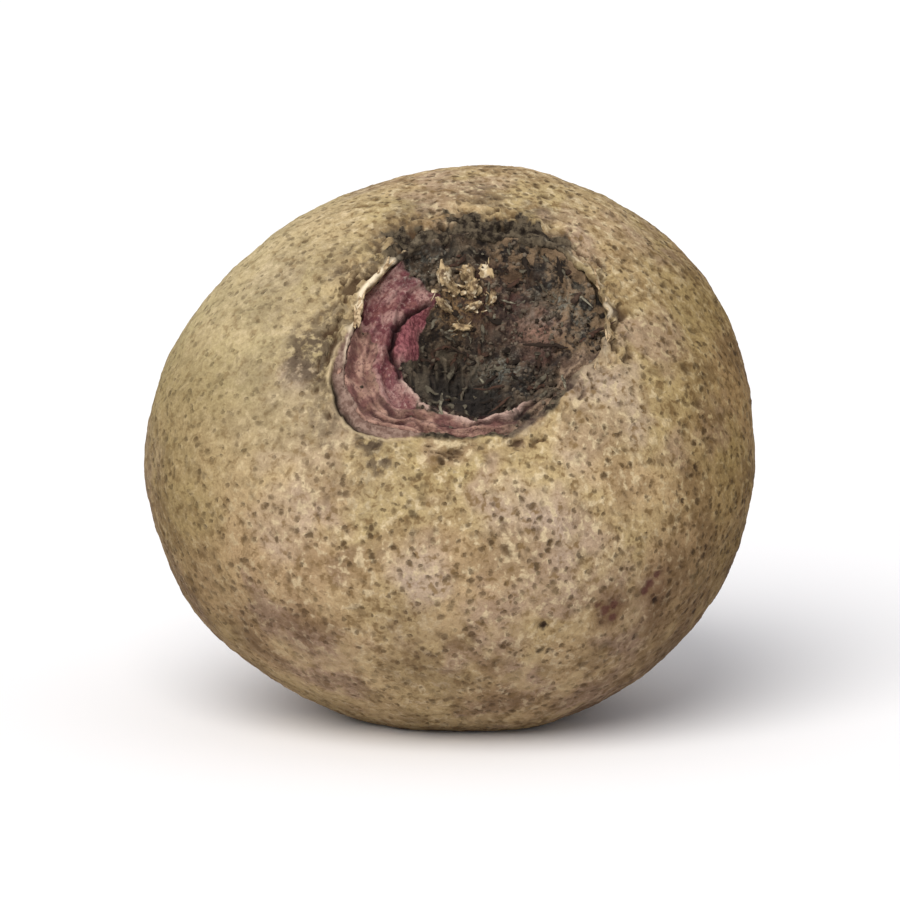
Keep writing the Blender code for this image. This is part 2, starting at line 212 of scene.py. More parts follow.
# Round the rim: creases that run along it, how far the scar's rot has spread over it, and the lower left
# band from which the skin has peeled
CREASE_HEIGHT, CREASE_REACH, CREASE_PITCH, CREASES_ROUND = 0.00048, 0.0030, 0.00062, 13.0
FOLD_HEIGHT, FOLD_PITCH, FOLDS_ROUND, FOLD_PLACE, FOLD_REACH = 0.00055, 0.0016, 5.5, 0.0042, 0.0036
CRINKLE_SIZE, CRINKLE_HEIGHT, FRAY_HEIGHT, FRAY_PLACE = 0.0014, 0.00034, 0.00012, 0.0003
ROT_REACH, ROT_FROM, ROT_TO = 0.0030, math.radians(52), math.radians(134)
ROT_CRUMB_SIZE, ROT_CRUMB_HEIGHT, ROT_LUMP_HEIGHT = 0.00095, 0.00060, 0.00035
PEEL_REACH, PEEL_FROM, PEEL_TO = 0.0015, math.radians(180), math.radians(238)
PEEL_DEPTH, CRACK_DEPTH = 0.00030, 0.0006
PEEL_EDGE_HEIGHT, PEEL_EDGE_WIDTH = 0.00022, 0.00022

# Stretches of the rim, as (first direction, last direction, soft edge) in radians
CREASED, LESS_CREASED, WIDE_FOLDED = (1.2, 3.3, 0.8), (-0.3, 0.9, 0.6), (0.8, 2.7, 0.4)
FRAYED_LIP, FRAYED_SKIN = (0.0, 0.95, 0.15), (-0.6, 1.3, 0.5)
LESS_ROTTED, CRACKED, PEEL_CORNER_HIGHLIGHT = (-0.5, 0.75, 0.3), (3.44, 3.94, 0.12), (3.66, 3.98, 0.10)
DARK_MARKED, LESS_MARKED, WEATHERED = (-0.6, 3.4, 0.5), (-0.7, 0.9, 0.3), (-1.35, -0.10, 0.3)

# Marks on it, each a place in the root's own frame, a size and a strength
BRUISES = (
    ((0.0220, -0.0292, 0.0106), 0.0024, 0.32),
    ((0.0162, -0.0328, 0.0112), 0.0020, 0.32),
    ((-0.0085, -0.0345, 0.0110), 0.0034, 0.22),
    ((-0.0230, -0.0310, 0.0040), 0.0045, 0.20),
)
PALE_PATCHES = (
    ((0.0169, -0.0088, 0.0241), 0.0050, 0.75),
    ((0.0133, -0.0145, 0.0239), 0.0034, 0.60),
    ((-0.0080, -0.0301, 0.0175), 0.0038, 0.80),
    ((-0.0248, -0.0226, 0.0170), 0.0042, 0.60),
    ((-0.0227, -0.0035, 0.0228), 0.0026, 0.60),
    ((0.0059, -0.0270, 0.0200), 0.0054, 0.62),
)
POCKS = (
    ((0.0077, -0.0351, 0.0115), 0.00050, 0.95),
    ((0.0073, -0.0367, 0.0080), 0.00044, 0.85),
    ((0.0087, -0.0366, 0.0077), 0.00044, 0.90),
    ((-0.0091, -0.0240, 0.0216), 0.00044, 0.60),
    ((-0.0052, -0.0178, 0.0243), 0.00050, 0.50),
    ((0.0286, -0.0148, 0.0164), 0.00036, 0.65),
    ((0.0264, -0.0194, 0.0160), 0.00030, 0.75),
    ((0.0128, 0.0130, 0.0242), 0.00060, 0.75),
    ((0.0145, 0.0037, 0.0241), 0.00050, 0.75),
    ((0.0228, -0.0297, 0.0085), 0.00046, 0.90),
    ((0.0204, -0.0326, 0.0045), 0.00050, 0.50),
    ((0.0132, -0.0362, 0.0037), 0.00055, 0.45),
    ((0.0121, -0.0285, 0.0178), 0.00034, 0.60),
)
WOUNDS = (
    ((0.0214, -0.0296, 0.0108), 0.00062, 0.85),
    ((0.0219, -0.0290, 0.0113), 0.00058, 0.85),
    ((0.0229, -0.0279, 0.0118), 0.00046, 0.75),
    ((0.0148, -0.0327, 0.0124), 0.00042, 0.60),
    ((0.0158, -0.0328, 0.0114), 0.00060, 0.75),
    ((0.0169, -0.0330, 0.0100), 0.00050, 0.75),
    ((0.0169, -0.0320, 0.0115), 0.00050, 0.70),
)
SMUDGES = (
    ((-0.0207, -0.0009, 0.0236), 0.0044, 0.88),
    ((-0.0183, 0.0035, 0.0241), 0.0032, 0.68),
    ((-0.0140, -0.0149, 0.0240), 0.0016, 0.90),
    ((-0.0128, -0.0178, 0.0232), 0.0012, 0.80),
    ((-0.0185, -0.0090, 0.0240), 0.0034, 0.55),
    ((-0.0240, 0.0075, 0.0217), 0.0052, 0.26),
    ((-0.0172, 0.0142, 0.0231), 0.0042, 0.26),
    ((-0.0245, -0.0006, 0.0222), 0.0052, 0.30),
    ((-0.0140, -0.0200, 0.0225), 0.0044, 0.30),
    ((-0.0101, 0.0150, 0.0244), 0.0030, 0.35),
    ((-0.0060, 0.0222, 0.0228), 0.0026, 0.45),
    ((0.0040, 0.0240, 0.0220), 0.0024, 0.60),
    ((0.0105, 0.0205, 0.0225), 0.0022, 0.60),
    ((0.0185, 0.0040, 0.0245), 0.0008, 0.90),
    ((0.0174, 0.0119, 0.0238), 0.0010, 0.90),
)

# Mesh: points round the widest ring, the reach under which a ring has half as many, and rings a stretch
SKIN_COLUMNS = 528
SKIN_HALVING = (0.0190, 0.0098, 0.0049)
SHOULDER_LENGTH, FINE_REACH = 0.032, 0.0065
RIM_PITCH, SKIN_PITCH = 0.00014, 0.00047
ROLL_RINGS = 9
BOWL_SHARES = (0.80, 0.55, 0.25)
BOWL_DEPTH = 0.0125


def smooth_step(value):
    """0 below 0, 1 above 1, with an S-shaped rise between."""
    share = np.clip(value, 0, 1)
    return share * share * (3 - 2 * share)


def bell(value, width):
    """A bell of height 1 about 0."""
    return np.exp(-((value / width) ** 2))


def turn_gap(turn, centre):
    """The angle from centre to turn, between minus and plus half a turn."""
    return (turn - centre + math.pi) % (2 * math.pi) - math.pi


def waves(points, size, seed):
    """A sum of plane waves about size long in random directions, of mean square 1: lumps of grown skin."""
    draw = np.random.default_rng(seed)
    count = 18
    ways = draw.normal(size=(count, 3))
    ways /= np.linalg.norm(ways, axis=1, keepdims=True)
    lengths = size * draw.uniform(0.7, 1.5, count)
    shifts = draw.uniform(0, 2 * math.pi, count)
    phases = points @ (ways * (2 * math.pi / lengths)[:, None]).T + shifts
    return np.cos(phases).sum(axis=-1) / math.sqrt(count / 2)


def grain(points, size, seed):
    """Smooth random values from -1 to 1: random numbers on a lattice, blended between its corners."""
    table = np.random.default_rng(seed).uniform(-1, 1, (32, 32, 32))
    place = points / size
    cell = np.floor(place).astype(int)
    part = smooth_step(place - cell)
    total = np.zeros(len(points))
    for corner in np.ndindex(2, 2, 2):
        share = np.prod(np.where(corner, part, 1 - part), axis=1)
        index = (cell + corner) % 32
        total += share * table[index[:, 0], index[:, 1], index[:, 2]]
    return total


def clusters(points, size, seed, octaves=3):
    """Grain of several sizes in one, each half as large and half as strong as the one before."""
    return sum(grain(points, size / 2**i, seed + i) / 2**i for i in range(octaves))


def wander(points, size, seed, kind=grain, step=1):
    """A smooth random push for each point: grain, or another kind, of its own for each of the three parts."""
    parts = [kind(points.reshape(-1, 3), size, seed + step * k) for k in range(3)]
    return np.stack(parts, axis=1).reshape(points.shape)


def nearest_seed(points, spacing, seed):
    """Seeds strewn one to a cell: the distance to the nearest, in spacings, and that seed's own number."""
    table = np.random.default_rng(seed).random((32, 32, 32, 4))
    place = points / spacing
    cell = np.floor(place).astype(int)
    best = np.full(len(points), 9.0)
    own = np.zeros(len(points))
    for shift in np.ndindex(3, 3, 3):
        corner = cell + shift - 1
        index = corner % 32
        strewn = table[index[:, 0], index[:, 1], index[:, 2]]
        away = np.linalg.norm(corner + strewn[:, :3] - place, axis=1)
        own = np.where(away < best, strewn[:, 3], own)
        best = np.minimum(away, best)
    return best, own


def cap_height(reach):
    """Height of the plain crown over the widest ring, at a distance from the axis: a superellipse."""
    share = np.clip(reach / BODY_RADIUS, 0, 1)
    return CROWN_HEIGHT * (1 - share**CROWN_FULLNESS) ** (1 / CROWN_FULLNESS)


def root_radius(depth):
    """Radius below the widest ring: a superellipse that runs out through a flared neck into the taproot."""
    share = np.clip(depth / ROOT_HEIGHT, 0, 1)
    body = BODY_RADIUS * (1 - share**ROOT_FULLNESS) ** (1 / ROOT_FULLNESS)
    past = np.clip((depth - ROOT_HEIGHT) / TAIL_LENGTH, 0, 1)
    tail = TAIL_RADIUS * (1 - (1 - TAIL_TIP_SHARE) * past)
    neck = tail + (NECK_RADIUS - tail) / (1 + np.exp((depth - ROOT_HEIGHT) / NECK_FALL))
    return (body**4 + neck**4) ** 0.25


def swell(reach, turn):
    """How much the lobes widen the body, as a factor: nothing at the axis, all of it at the widest ring."""
    share = np.clip(reach / BODY_RADIUS, 0, 1)
    oval = OVAL_SHARE * np.cos(2 * (turn - OVAL_TURN)) * share**2
    triad = TRIAD_SHARE * np.cos(3 * (turn - TRIAD_TURN)) * share**3
    return 1 + oval + triad


def scar_rim(turn):
    """Distance of the scar's torn rim from its centre."""
    bulges = sum(height * bell(turn_gap(turn, way), spread) for height, way, spread in RIM_BULGES)
    ragged = np.cos(7 * turn + 0.6) + 0.7 * np.cos(11 * turn + 2.1) + 0.6 * np.cos(17 * turn + 4.0)
    fine = np.cos(29 * turn + 1.3) + 0.8 * np.cos(43 * turn + 0.4) + 0.6 * np.cos(61 * turn + 2.2)
    frayed = bell(turn_gap(turn, FRAYED_TURN), FRAYED_SPREAD)
    return SCAR_RADIUS + bulges + RIM_RAGGED * ragged + RIM_FRAYED * fine * frayed


def window(turn, first, last, edge):
    """1 between two directions, with soft edges."""
    middle = (first + last) / 2
    return smooth_step(((last - first) / 2 - np.abs(turn_gap(turn, middle))) / edge + 0.5)


def sector(turn, *degrees):
    """The same between two directions, with an edge, that are given in degrees."""
    return window(turn, *map(math.radians, degrees))


def torn(turn):
    """1 where the rim is a sharp torn edge, falling to 0 where it slopes."""
    return sum(bell(turn_gap(turn, way), TORN_SPREAD) for way in TORN_TURNS)


def lumps(points):
    """Low lumps all over the skin, and the fuller underside."""
    low_lumps = sum(height * waves(points, size, LUMP_SEED + i) for i, (size, height) in enumerate(LUMPS))
    belly = BELLY_HEIGHT * bell(np.linalg.norm(points - np.array(BELLY_PLACE), axis=-1), BELLY_SIZE)
    return low_lumps + belly


def collar_relief(past_rim, turn):
    """Height over the skin outside the rim: a rolled lip, highest where it is torn, then faint wrinkles."""
    rotted = window(turn, ROT_FROM, ROT_TO, math.radians(30))
    lip = LIP_HEIGHT * (0.35 + 0.65 * torn(turn)) * (1 - rotted) * bell(past_rim, LIP_WIDTH)
    fade = np.exp(-past_rim / WRINKLE_REACH)
    wrinkles = WRINKLE_HEIGHT * np.cos(2 * math.pi * past_rim / WRINKLE_PITCH + 1.5 * np.sin(2 * turn)) * fade
    return lip + wrinkles


def around(reach, turn, height):
    """Points at a distance from the axis, in a direction round it, at a height: (r cos t, r sin t, h)."""
    return np.stack([reach * np.cos(turn), reach * np.sin(turn), height], axis=-1)


def raised(reach, turn, height, relief):
    """Points of the plain body, pushed out along its normal by their relief and by the lumps."""
    points = around(reach * swell(reach, turn), turn, height)
    half_height = np.where(height > 0, CROWN_HEIGHT, ROOT_HEIGHT)
    slope = height * (BODY_RADIUS / half_height) ** 2
    normal = around(reach, turn, slope)
    normal /= np.linalg.norm(normal, axis=-1, keepdims=True)
    return points + normal * (relief + lumps(points))[:, None]


def shoulder(share, turn):
    """The skin from the rim, at share 0, to the widest ring, at share 1, and its distance past the rim."""
    across = SCAR_CENTRE[0] + scar_rim(turn) * np.cos(turn)
    up = SCAR_CENTRE[1] + scar_rim(turn) * np.sin(turn)
    start, way = np.hypot(across, up), np.arctan2(up, across)
    first = np.arctan2(start / BODY_RADIUS, cap_height(start) / CROWN_HEIGHT)
    polar = first + share * (math.pi / 2 - first)
    sine, cosine = np.sin(polar), np.maximum(np.cos(polar), 0)
    scale = (sine**CROWN_FULLNESS + cosine**CROWN_FULLNESS) ** (-1 / CROWN_FULLNESS)
    reach = BODY_RADIUS * sine * scale
    way = way + share * turn_gap(turn, way)
    relief = collar_relief(reach - start, turn) * (1 - share)
    return raised(reach, way, CROWN_HEIGHT * cosine * scale, relief), reach - start


def flank(depth, turn):
    """The skin below the widest ring, at a depth along the axis, down to the taproot's tip."""
    reach = root_radius(depth)
    tail_share = smooth_step((depth - 0.8 * ROOT_HEIGHT) / 0.008)
    rings = TAIL_RING_HEIGHT * np.cos(2 * math.pi * depth / TAIL_RING_PITCH) * tail_share
    beside = smooth_step(depth / ROOT_HEIGHT) * smooth_step(reach / 0.010)
    furrows = sum(bell(turn_gap(turn, way) * reach, FURROW_WIDTH) for way in FURROW_TURNS)
    points = raised(reach, turn, -depth, rings - FURROW_DEPTH * beside * furrows)
    bend = np.maximum(0.0, depth - TAIL_BEND_FROM) / (ROOT_HEIGHT + TAIL_LENGTH - TAIL_BEND_FROM)
    return points + bend[:, None] ** 2 * np.array([TAIL_SWAY, TAIL_RISE, 0.0])


def roll_in(share, turn):
    """The lip's edge from its crest, at share 0, round a small roll and down under the scar, at share 1."""
    crest, _ = shoulder(np.zeros(len(turn)), turn)
    soft = 1 - np.clip(torn(turn), 0, 1)
    radius = ROLL_RADIUS + (SOFT_ROLL_RADIUS - ROLL_RADIUS) * soft
    angle = ROLL_TURN * np.clip(share / 0.75, 0, 1)
    down = radius * (1 - np.cos(angle))
    inward = radius * np.sin(angle)
    under = smooth_step((share - 0.75) / 0.25)
    inward = inward * (1 - under) - TUCK_OUT * under
    down = down * (1 - under) + TUCK_DOWN * under
    return crest - around(inward, turn, down)


def bowl(share, turn):
    """The hidden skin under the scar, at a share of the way out to the rim."""
    reach = share * scar_rim(turn)
    across, up = SCAR_CENTRE[0] + reach * np.cos(turn), SCAR_CENTRE[1] + reach * np.sin(turn)
    depth = TUCK_DOWN + (BOWL_DEPTH - TUCK_DOWN) * (1 - share**2)
    return np.stack([across, up, cap_height(np.hypot(across, up)) - depth], axis=-1)


def as_it_lies(points):
    """Turns the root's own frame into the table's, and presses the flat spot onto the table."""
    rise, side = CROWN_ELEVATION, CROWN_TO_THE_RIGHT
    axis = np.array([math.sin(side) * math.cos(rise), -math.cos(side) * math.cos(rise), math.sin(rise)])
    right = np.array([math.cos(side), math.sin(side), 0.0])
    placed = points @ np.stack([right, np.cross(axis, right), axis]) + np.array(MIDDLE)
    height = placed[..., 2]
    rounded = (height + SPOT_EDGE) ** 2 / (4 * SPOT_EDGE)
    placed[..., 2] = np.where(height > SPOT_EDGE, height, np.where(height < -SPOT_EDGE, 0.0, rounded))
    return placed


def ring_turns(counts):
    """The direction of every point of a row of rings, ring after ring; a lone point is a pole."""
    return np.concatenate([np.linspace(0, 2 * math.pi, count, endpoint=False) for count in counts])


def ring_faces(counts):
    """Faces between rings that follow one another. Where the number of points halves or doubles, three
    triangles fill each step, and a fan closes each pole. They face outwards when the first ring is the
    crown's pole and turns run counterclockwise."""
    starts = np.concatenate([[0], np.cumsum(counts)])
    quads, triangles = [], []
    for first, second, a, b in zip(counts, counts[1:], starts, starts[1:]):
        i = np.arange(max(min(first, second), 1))
        if first == second:
            j = (i + 1) % first
            quads.append(np.stack([a + i, b + i, b + j, a + j], axis=1))
        elif min(first, second) == 1:
            i = np.arange(max(first, second))
            j = (i + 1) % len(i)
            fan = [a + 0 * i, b + i, b + j] if first == 1 else [a + i, b + 0 * i, a + j]
            triangles.append(np.stack(fan, axis=1))
        else:
            wide, slim = (a, b) if first > second else (b, a)
            j = (i + 1) % len(i)
            near, middle, far = wide + 2 * i, wide + 2 * i + 1, wide + (2 * i + 2) % max(first, second)
            steps = ((near, slim + i, middle), (slim + i, slim + j, middle), (middle, slim + j, far))
            for step in steps:
                order = step if first > second else step[::-1]
                triangles.append(np.stack(order, axis=1))
    empty = [np.zeros((0, 4), int)]
    return np.concatenate(quads or empty), np.concatenate(triangles or [np.zeros((0, 3), int)])


def outward(points, quads, triangles):
    """The direction out of a closed sheet at each of its points: the sum of its faces' normals there."""
    total = np.zeros_like(points)
    slanted = np.cross(points[quads[:, 2]] - points[quads[:, 0]], points[quads[:, 3]] - points[quads[:, 1]])
    plain = np.cross(
        points[triangles[:, 1]] - points[triangles[:, 0]], points[triangles[:, 2]] - points[triangles[:, 0]]
    )
    for faces, normals in ((quads, slanted), (triangles, plain)):
        for corner in faces.T:
            for axis in range(3):
                total[:, axis] += np.bincount(corner, normals[:, axis], len(points))
    return total / np.maximum(np.linalg.norm(total, axis=1, keepdims=True), 1e-12)


def new_piece(name, points, faces, material, marks=None):
    """A smooth-shaded piece of the root as it lies, with its marks stored as one number a point."""
    data = bpy.data.meshes.new(name)
    data.from_pydata(as_it_lies(points).tolist(), [], [face for group in faces for face in group.tolist()])
    for mark, values in (marks or {}).items():
        layer = data.attributes.new(mark, "FLOAT", "POINT")
        layer.data.foreach_set("value", np.ascontiguousarray(values, np.float32))
    data.materials.append(material)
    data.shade_smooth()
    piece = bpy.data.objects.new(name, data)
    bpy.context.scene.collection.objects.link(piece)
    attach(piece, "root")
    return piece


def halved(columns, reach, limits):
    """How many points a ring has: half as many for each limit that its reach is under."""
    return columns // 2 ** sum(reach < limit for limit in limits)


# Rings from the hidden pole under the scar, out under the lip, over it and down to the taproot's tip. Each
# ring is one place along the sheet: below 0 in the bowl, 0 to 1 the roll, 1 to 2 the shoulder, then depth.
depths = np.linspace(0, ROOT_HEIGHT + TAIL_LENGTH, 4000)
profile = root_radius(depths)
run = np.concatenate([[0], np.cumsum(np.hypot(np.diff(depths), np.diff(profile)))])
flank_depths = np.interp(np.arange(1, int(run[-1] / SKIN_PITCH) + 1) * SKIN_PITCH, run, depths)
fine_shares = np.linspace(0, 1, 4000)
pitch = RIM_PITCH + (SKIN_PITCH - RIM_PITCH) * smooth_step(fine_shares * SHOULDER_LENGTH / FINE_REACH)
ring_number = np.concatenate([[0], np.cumsum(SHOULDER_LENGTH * np.diff(fine_shares) / pitch[1:])])
even_numbers = np.linspace(0, ring_number[-1], int(ring_number[-1]) + 1)
shoulder_shares = np.interp(even_numbers, ring_number, fine_shares)

bowl_counts = [1] + [SKIN_COLUMNS // 2 ** (3 - i) for i in range(3)]
roll_shares = np.linspace(1, 0, ROLL_RINGS + 1)[:-1]
flank_counts = [halved(SKIN_COLUMNS, radius, SKIN_HALVING) for radius in root_radius(flank_depths)]
counts = bowl_counts + [SKIN_COLUMNS] * (len(roll_shares) + len(shoulder_shares)) + flank_counts + [1]

turns = ring_turns(counts)
ends = np.cumsum([0, sum(bowl_counts), SKIN_COLUMNS * len(roll_shares), SKIN_COLUMNS * len(shoulder_shares)])
in_bowl, in_roll, on_shoulder = (slice(a, b) for a, b in zip(ends, ends[1:]))
on_flank = slice(ends[-1], len(turns) - 1)

skin = np.zeros((len(turns), 3))
past_rim = np.full(len(turns), BODY_RADIUS)
skin[in_bowl] = bowl(np.repeat((0.0, *BOWL_SHARES[::-1]), bowl_counts), turns[in_bowl])
skin[in_roll] = roll_in(np.repeat(roll_shares, SKIN_COLUMNS), turns[in_roll])
past_rim[in_bowl] = -ROLL_LENGTH
past_rim[in_roll] = -ROLL_LENGTH * np.repeat(roll_shares, SKIN_COLUMNS)
skin[on_shoulder], past_rim[on_shoulder] = shoulder(
    np.repeat(shoulder_shares, SKIN_COLUMNS), turns[on_shoulder]
)
skin[on_flank] = flank(np.repeat(flank_depths, flank_counts), turns[on_flank])
skin[-1] = skin[-1 - flank_counts[-1] : -1].mean(axis=0) - np.array([0, 0, 0.4 * TAIL_RADIUS])
skin_faces = ring_faces(counts)

# Pits and grain stand off the sheet along its normal. They fade on the lip's thin edge.
sharp = np.clip(torn(turns), 0, 1)
clean = sharp * sector(turns, 131, 214, 8)
pit = np.zeros(len(skin))
relief = np.zeros(len(skin))
bare = smooth_step(past_rim / SMOOTH_LIP)
for i, (spacing, share, depth) in enumerate(PITS):
    bend = wander(skin, 0.45 * spacing, 40 + 3 * i)
    away, own = nearest_seed(skin + 0.24 * spacing * bend, spacing, 30 + i)
    size = share * (0.6 + 0.8 * own)
    dip = smooth_step((size - away) / (0.7 * size)) * (0.4 + 0.6 * own)
    brim = bell(away - 1.25 * size, 0.4 * size)
    pit = np.maximum(pit, dip)
    relief += depth * bare * (PIT_RIM * brim - dip)
for i, (size, height) in enumerate(SKIN_GRAIN):
    relief += height * grain(skin, size, 50 + i)

# Broken creases run along the rim, most of them over its upper left. The torn lip itself is crinkled.
beside_rim = np.stack([past_rim / CREASE_PITCH, turns * CREASES_ROUND, 0 * turns], axis=1)
folds = clusters(beside_rim, 1.0, 64, 2) * bell(past_rim - 0.0016, CREASE_REACH) * bare
folds *= 0.30 + 0.70 * window(turns, *CREASED) + 0.15 * window(turns, *LESS_CREASED)
creases = smooth_step((folds - 0.11) / 0.20)
relief += CREASE_HEIGHT * (smooth_step((-folds - 0.06) / 0.3) - creases)
relief += CRINKLE_HEIGHT * clusters(skin, CRINKLE_SIZE, 60) * sharp * bell(past_rim, 0.0010)
over_scar = np.stack([past_rim / FOLD_PITCH, turns * FOLDS_ROUND, 0 * turns], axis=1)
wide_folds = clusters(over_scar, 1.0, 65, 2) * bell(past_rim - FOLD_PLACE, FOLD_REACH)
wide_folds *= window(turns, *WIDE_FOLDED)
relief -= FOLD_HEIGHT * wide_folds
frayed_lip = window(turns, *FRAYED_LIP) * smooth_step(0.62 + 1.5 * clusters(skin, CRINKLE_SIZE, 63))
relief += FRAY_HEIGHT * frayed_lip * bell(past_rim - FRAY_PLACE, 0.00024)
frayed = window(turns, *FRAYED_SKIN) * bell(past_rim - 0.0009, 0.0016)
relief += CRINKLE_HEIGHT * clusters(skin, CRINKLE_SIZE, 62) * frayed

# The rot spreads over the rim in crumbs, and the peeled band lies lower than the skin beside it.
rot_reach = ROT_REACH * window(turns, ROT_FROM, ROT_TO, math.radians(34)) * (1 - 0.8 * clean) + 0.0003
rot_depth = rot_reach * (1 + 0.9 * clusters(skin, 0.0020, 66)) - past_rim
rot = smooth_step(rot_depth / 0.0004) * (1 - 0.95 * clean) * (1 - 0.6 * window(turns, *LESS_ROTTED))
rot_crumb, _ = nearest_seed(skin, ROT_CRUMB_SIZE, 68)
relief += rot * (ROT_CRUMB_HEIGHT * (0.5 - rot_crumb) + ROT_LUMP_HEIGHT * clusters(skin, 0.0022, 69))
peel_reach = PEEL_REACH * window(turns, PEEL_FROM, PEEL_TO, math.radians(16))
peel_reach *= 1 + 0.25 * clusters(skin, 0.003, 61)
peeled = smooth_step((peel_reach - past_rim) / PEEL_EDGE_WIDTH) * smooth_step(peel_reach / 0.0006)
# The peeled band's raised edge: pale torn skin, with a painted highlight on it that is brightest at the lower
# left corner
peel_edge_and_highlight = bell(past_rim - peel_reach - PEEL_EDGE_WIDTH, PEEL_EDGE_WIDTH) * smooth_step(peel_reach / 0.0009)
# A crack runs just inside the peeled band's edge at the lower left; its mask also carries a near-black
# painted shadow cast by that edge
corner_crack_shadow = bell(past_rim - peel_reach + 0.00008, 0.00034) * window(turns, *CRACKED)
relief += PEEL_EDGE_HEIGHT * peel_edge_and_highlight - PEEL_DEPTH * peeled - CRACK_DEPTH * corner_crack_shadow

# Lines where fine roots broke off run across the furrows, and the neck above the taproot is wrinkled.
below, from_axis = -skin[:, 2], np.hypot(skin[:, 0], skin[:, 1])
gap_to_furrow = np.min([np.abs(turn_gap(turns, way)) for way in FURROW_TURNS], axis=0) * from_axis
line_place = np.stack([(below + 0.6 * from_axis) / ROOT_LINE_PITCH, *(skin.T[:2] / ROOT_LINE_LENGTH)], axis=1)
lines = clusters(line_place, 1.0, 130, 2)
near_furrow = bell(gap_to_furrow, 0.0050) * smooth_step((below - 0.006) / 0.010)
near_tail = smooth_step((below - 0.0285) / 0.0040)
root_lines = smooth_step((lines * np.maximum(0.85 * near_furrow, 0.9 * near_tail) - 0.22) / 0.16)
relief -= ROOT_LINE_DEPTH * root_lines
relief += NECK_WRINKLE * near_tail * clusters(skin, 0.0016, 134)
for place, size, _ in POCKS + WOUNDS:
    relief -= POCK_DEPTH * bell(np.linalg.norm(skin - np.array(place), axis=1), 1.4 * size)

skin_points = skin + outward(skin, *skin_faces) * relief[:, None]


def spots(points, places, edge, seed):
    """How much of a row of marks lies on each point: bells about their places, with ragged edges."""
    total = np.zeros(len(points))
    for place, size, strength in places:
        away = np.linalg.norm(points - np.array(place), axis=1)
        away = away * (1 + edge * clusters(points, 0.7 * size, seed))
        total = np.maximum(total, strength * smooth_step(1.6 - away / size))
    return total


# Grime has settled on the rim's upper side, in smudges, in the wide folds and in dark marks along the lip.
upper = sector(turns, 55, 178, 40)
near_rim = bell(past_rim, 0.0012 + 0.0022 * upper) * (0.20 + 0.80 * upper) * (1 - 0.7 * clean)
dark_marks = smooth_step((clusters(skin, 0.0016, 78) - 0.30) / 0.15) * window(turns, *DARK_MARKED)
dark_marks *= (1 - 0.45 * window(turns, *LESS_MARKED)) * bell(past_rim - 0.0013, 0.0009)
grime = (
    spots(skin, SMUDGES, 0.5, 70),
    near_rim * (0.30 + 1.0 * clusters(skin, 0.0022, 75)),
    0.75 * smooth_step((wide_folds - 0.12) / 0.30),
    0.85 * dark_marks * (1 - 0.8 * clean),
)
# Along the torn rim a pale line is painted: partly the pale cut cork, partly a painted highlight where the
# lamp catches the upturned edge
cream = 0.45 + 0.70 * clean + 0.9 * clusters(skin, 0.0018, 77)
pale_edge_and_highlight = bell(past_rim - 0.00015, 0.00038) * smooth_step(1.6 * clean + 0.55 * sharp) * smooth_step(cream)
frayed_edge = 0.55 * frayed_lip * bell(past_rim - FRAY_PLACE, 0.00020) * smooth_step(cream + 0.25)
weather_depth = 0.0022 + 0.0028 * clusters(skin, 0.0050, 79) - past_rim
weathered = 0.28 * window(turns, *WEATHERED) * smooth_step(weather_depth / 0.0016)
marks = {
    "pit": pit * bare,
    "grime": np.clip(np.max(grime, axis=0), 0, 1),
    "crease": np.clip(np.maximum(creases, 0.6 * root_lines), 0, 1),
    "tail": np.clip(near_tail, 0, 1),
    "rot": np.clip(rot, 0, 1),
    "peeled": np.clip(np.maximum(peeled, weathered), 0, 1),
    "bruise": spots(skin, BRUISES, 0.35, 80),
    "pale_patch": spots(skin, PALE_PATCHES, 0.35, 82),
    "torn_edge_and_highlight": np.maximum(pale_edge_and_highlight, frayed_edge),
    "peel_edge_and_highlight": peel_edge_and_highlight * (1 - corner_crack_shadow) * (0.75 + 0.6 * window(turns, *PEEL_CORNER_HIGHLIGHT)),
    "crack_shadow": corner_crack_shadow,
}

# Dry cork with dust in it: khaki tan, clouded with pinkish brown and olive over a centimetre or so, paler on
# the brims of the pits and dark brown down in them, with no shine.
cork, tree, surface = new_material("dusty corky skin")
place = add(tree, "TexCoord").outputs["Object"]


def cover(tree, *parts):
    """How far a layer covers what lies under it: the product of its parts. A part is a value, the name of a
    mark that the points carry, or (value or name, start, end, low, high), which stretches start..end to
    low..high with soft ends. Low and high are 0 and 1 where they aren't given."""
    total = None
    for part in parts:
        source, *span = part if isinstance(part, tuple) else (part,)
        if isinstance(source, str):
            source = add(tree, "Attribute", attribute_name=source).outputs["Fac"]
        if span:
            start, end, least, most = (*span, 0.0, 1.0)[:4]
            links = {0: source, 1: start, 2: end, 3: least, 4: most}
            source = add(tree, "MapRange", links, interpolation_type="SMOOTHSTEP").outputs[0]
        if total is None:
            total = source
        else:
            total = add(tree, "Math", {0: total, 1: source}, operation="MULTIPLY").outputs[0]
    return total


def layered(tree, colour, *layers, how="MIX"):
    """A colour with layers over it, each of them a colour and then the parts of its cover. Colours are hex
    codes or come from other nodes."""
    for shade, *parts in layers:
        under, over = (linear(each) if isinstance(each, str) else each for each in (colour, shade))
        links = {0: cover(tree, *parts), 6: under, 7: over}
        colour = add(tree, "Mix", links, data_type="RGBA", blend_type=how).outputs[2]
    return colour


def pushed(tree, place, size, amount):
    """Places pushed about by noise, so that nothing keyed to them comes out round or straight."""
    clouds = add(tree, "TexNoise", {"Vector": place, "Scale": 1 / size, "Detail": 2.0}).outputs[1]
    push = add(tree, "VectorMath", {0: clouds, 1: (0.5, 0.5, 0.5)}, operation="SUBTRACT").outputs[0]
    push = add(tree, "VectorMath", {0: push, "Scale": amount}, operation="SCALE").outputs[0]
    return add(tree, "VectorMath", {0: place, 1: push}, operation="ADD").outputs[0]


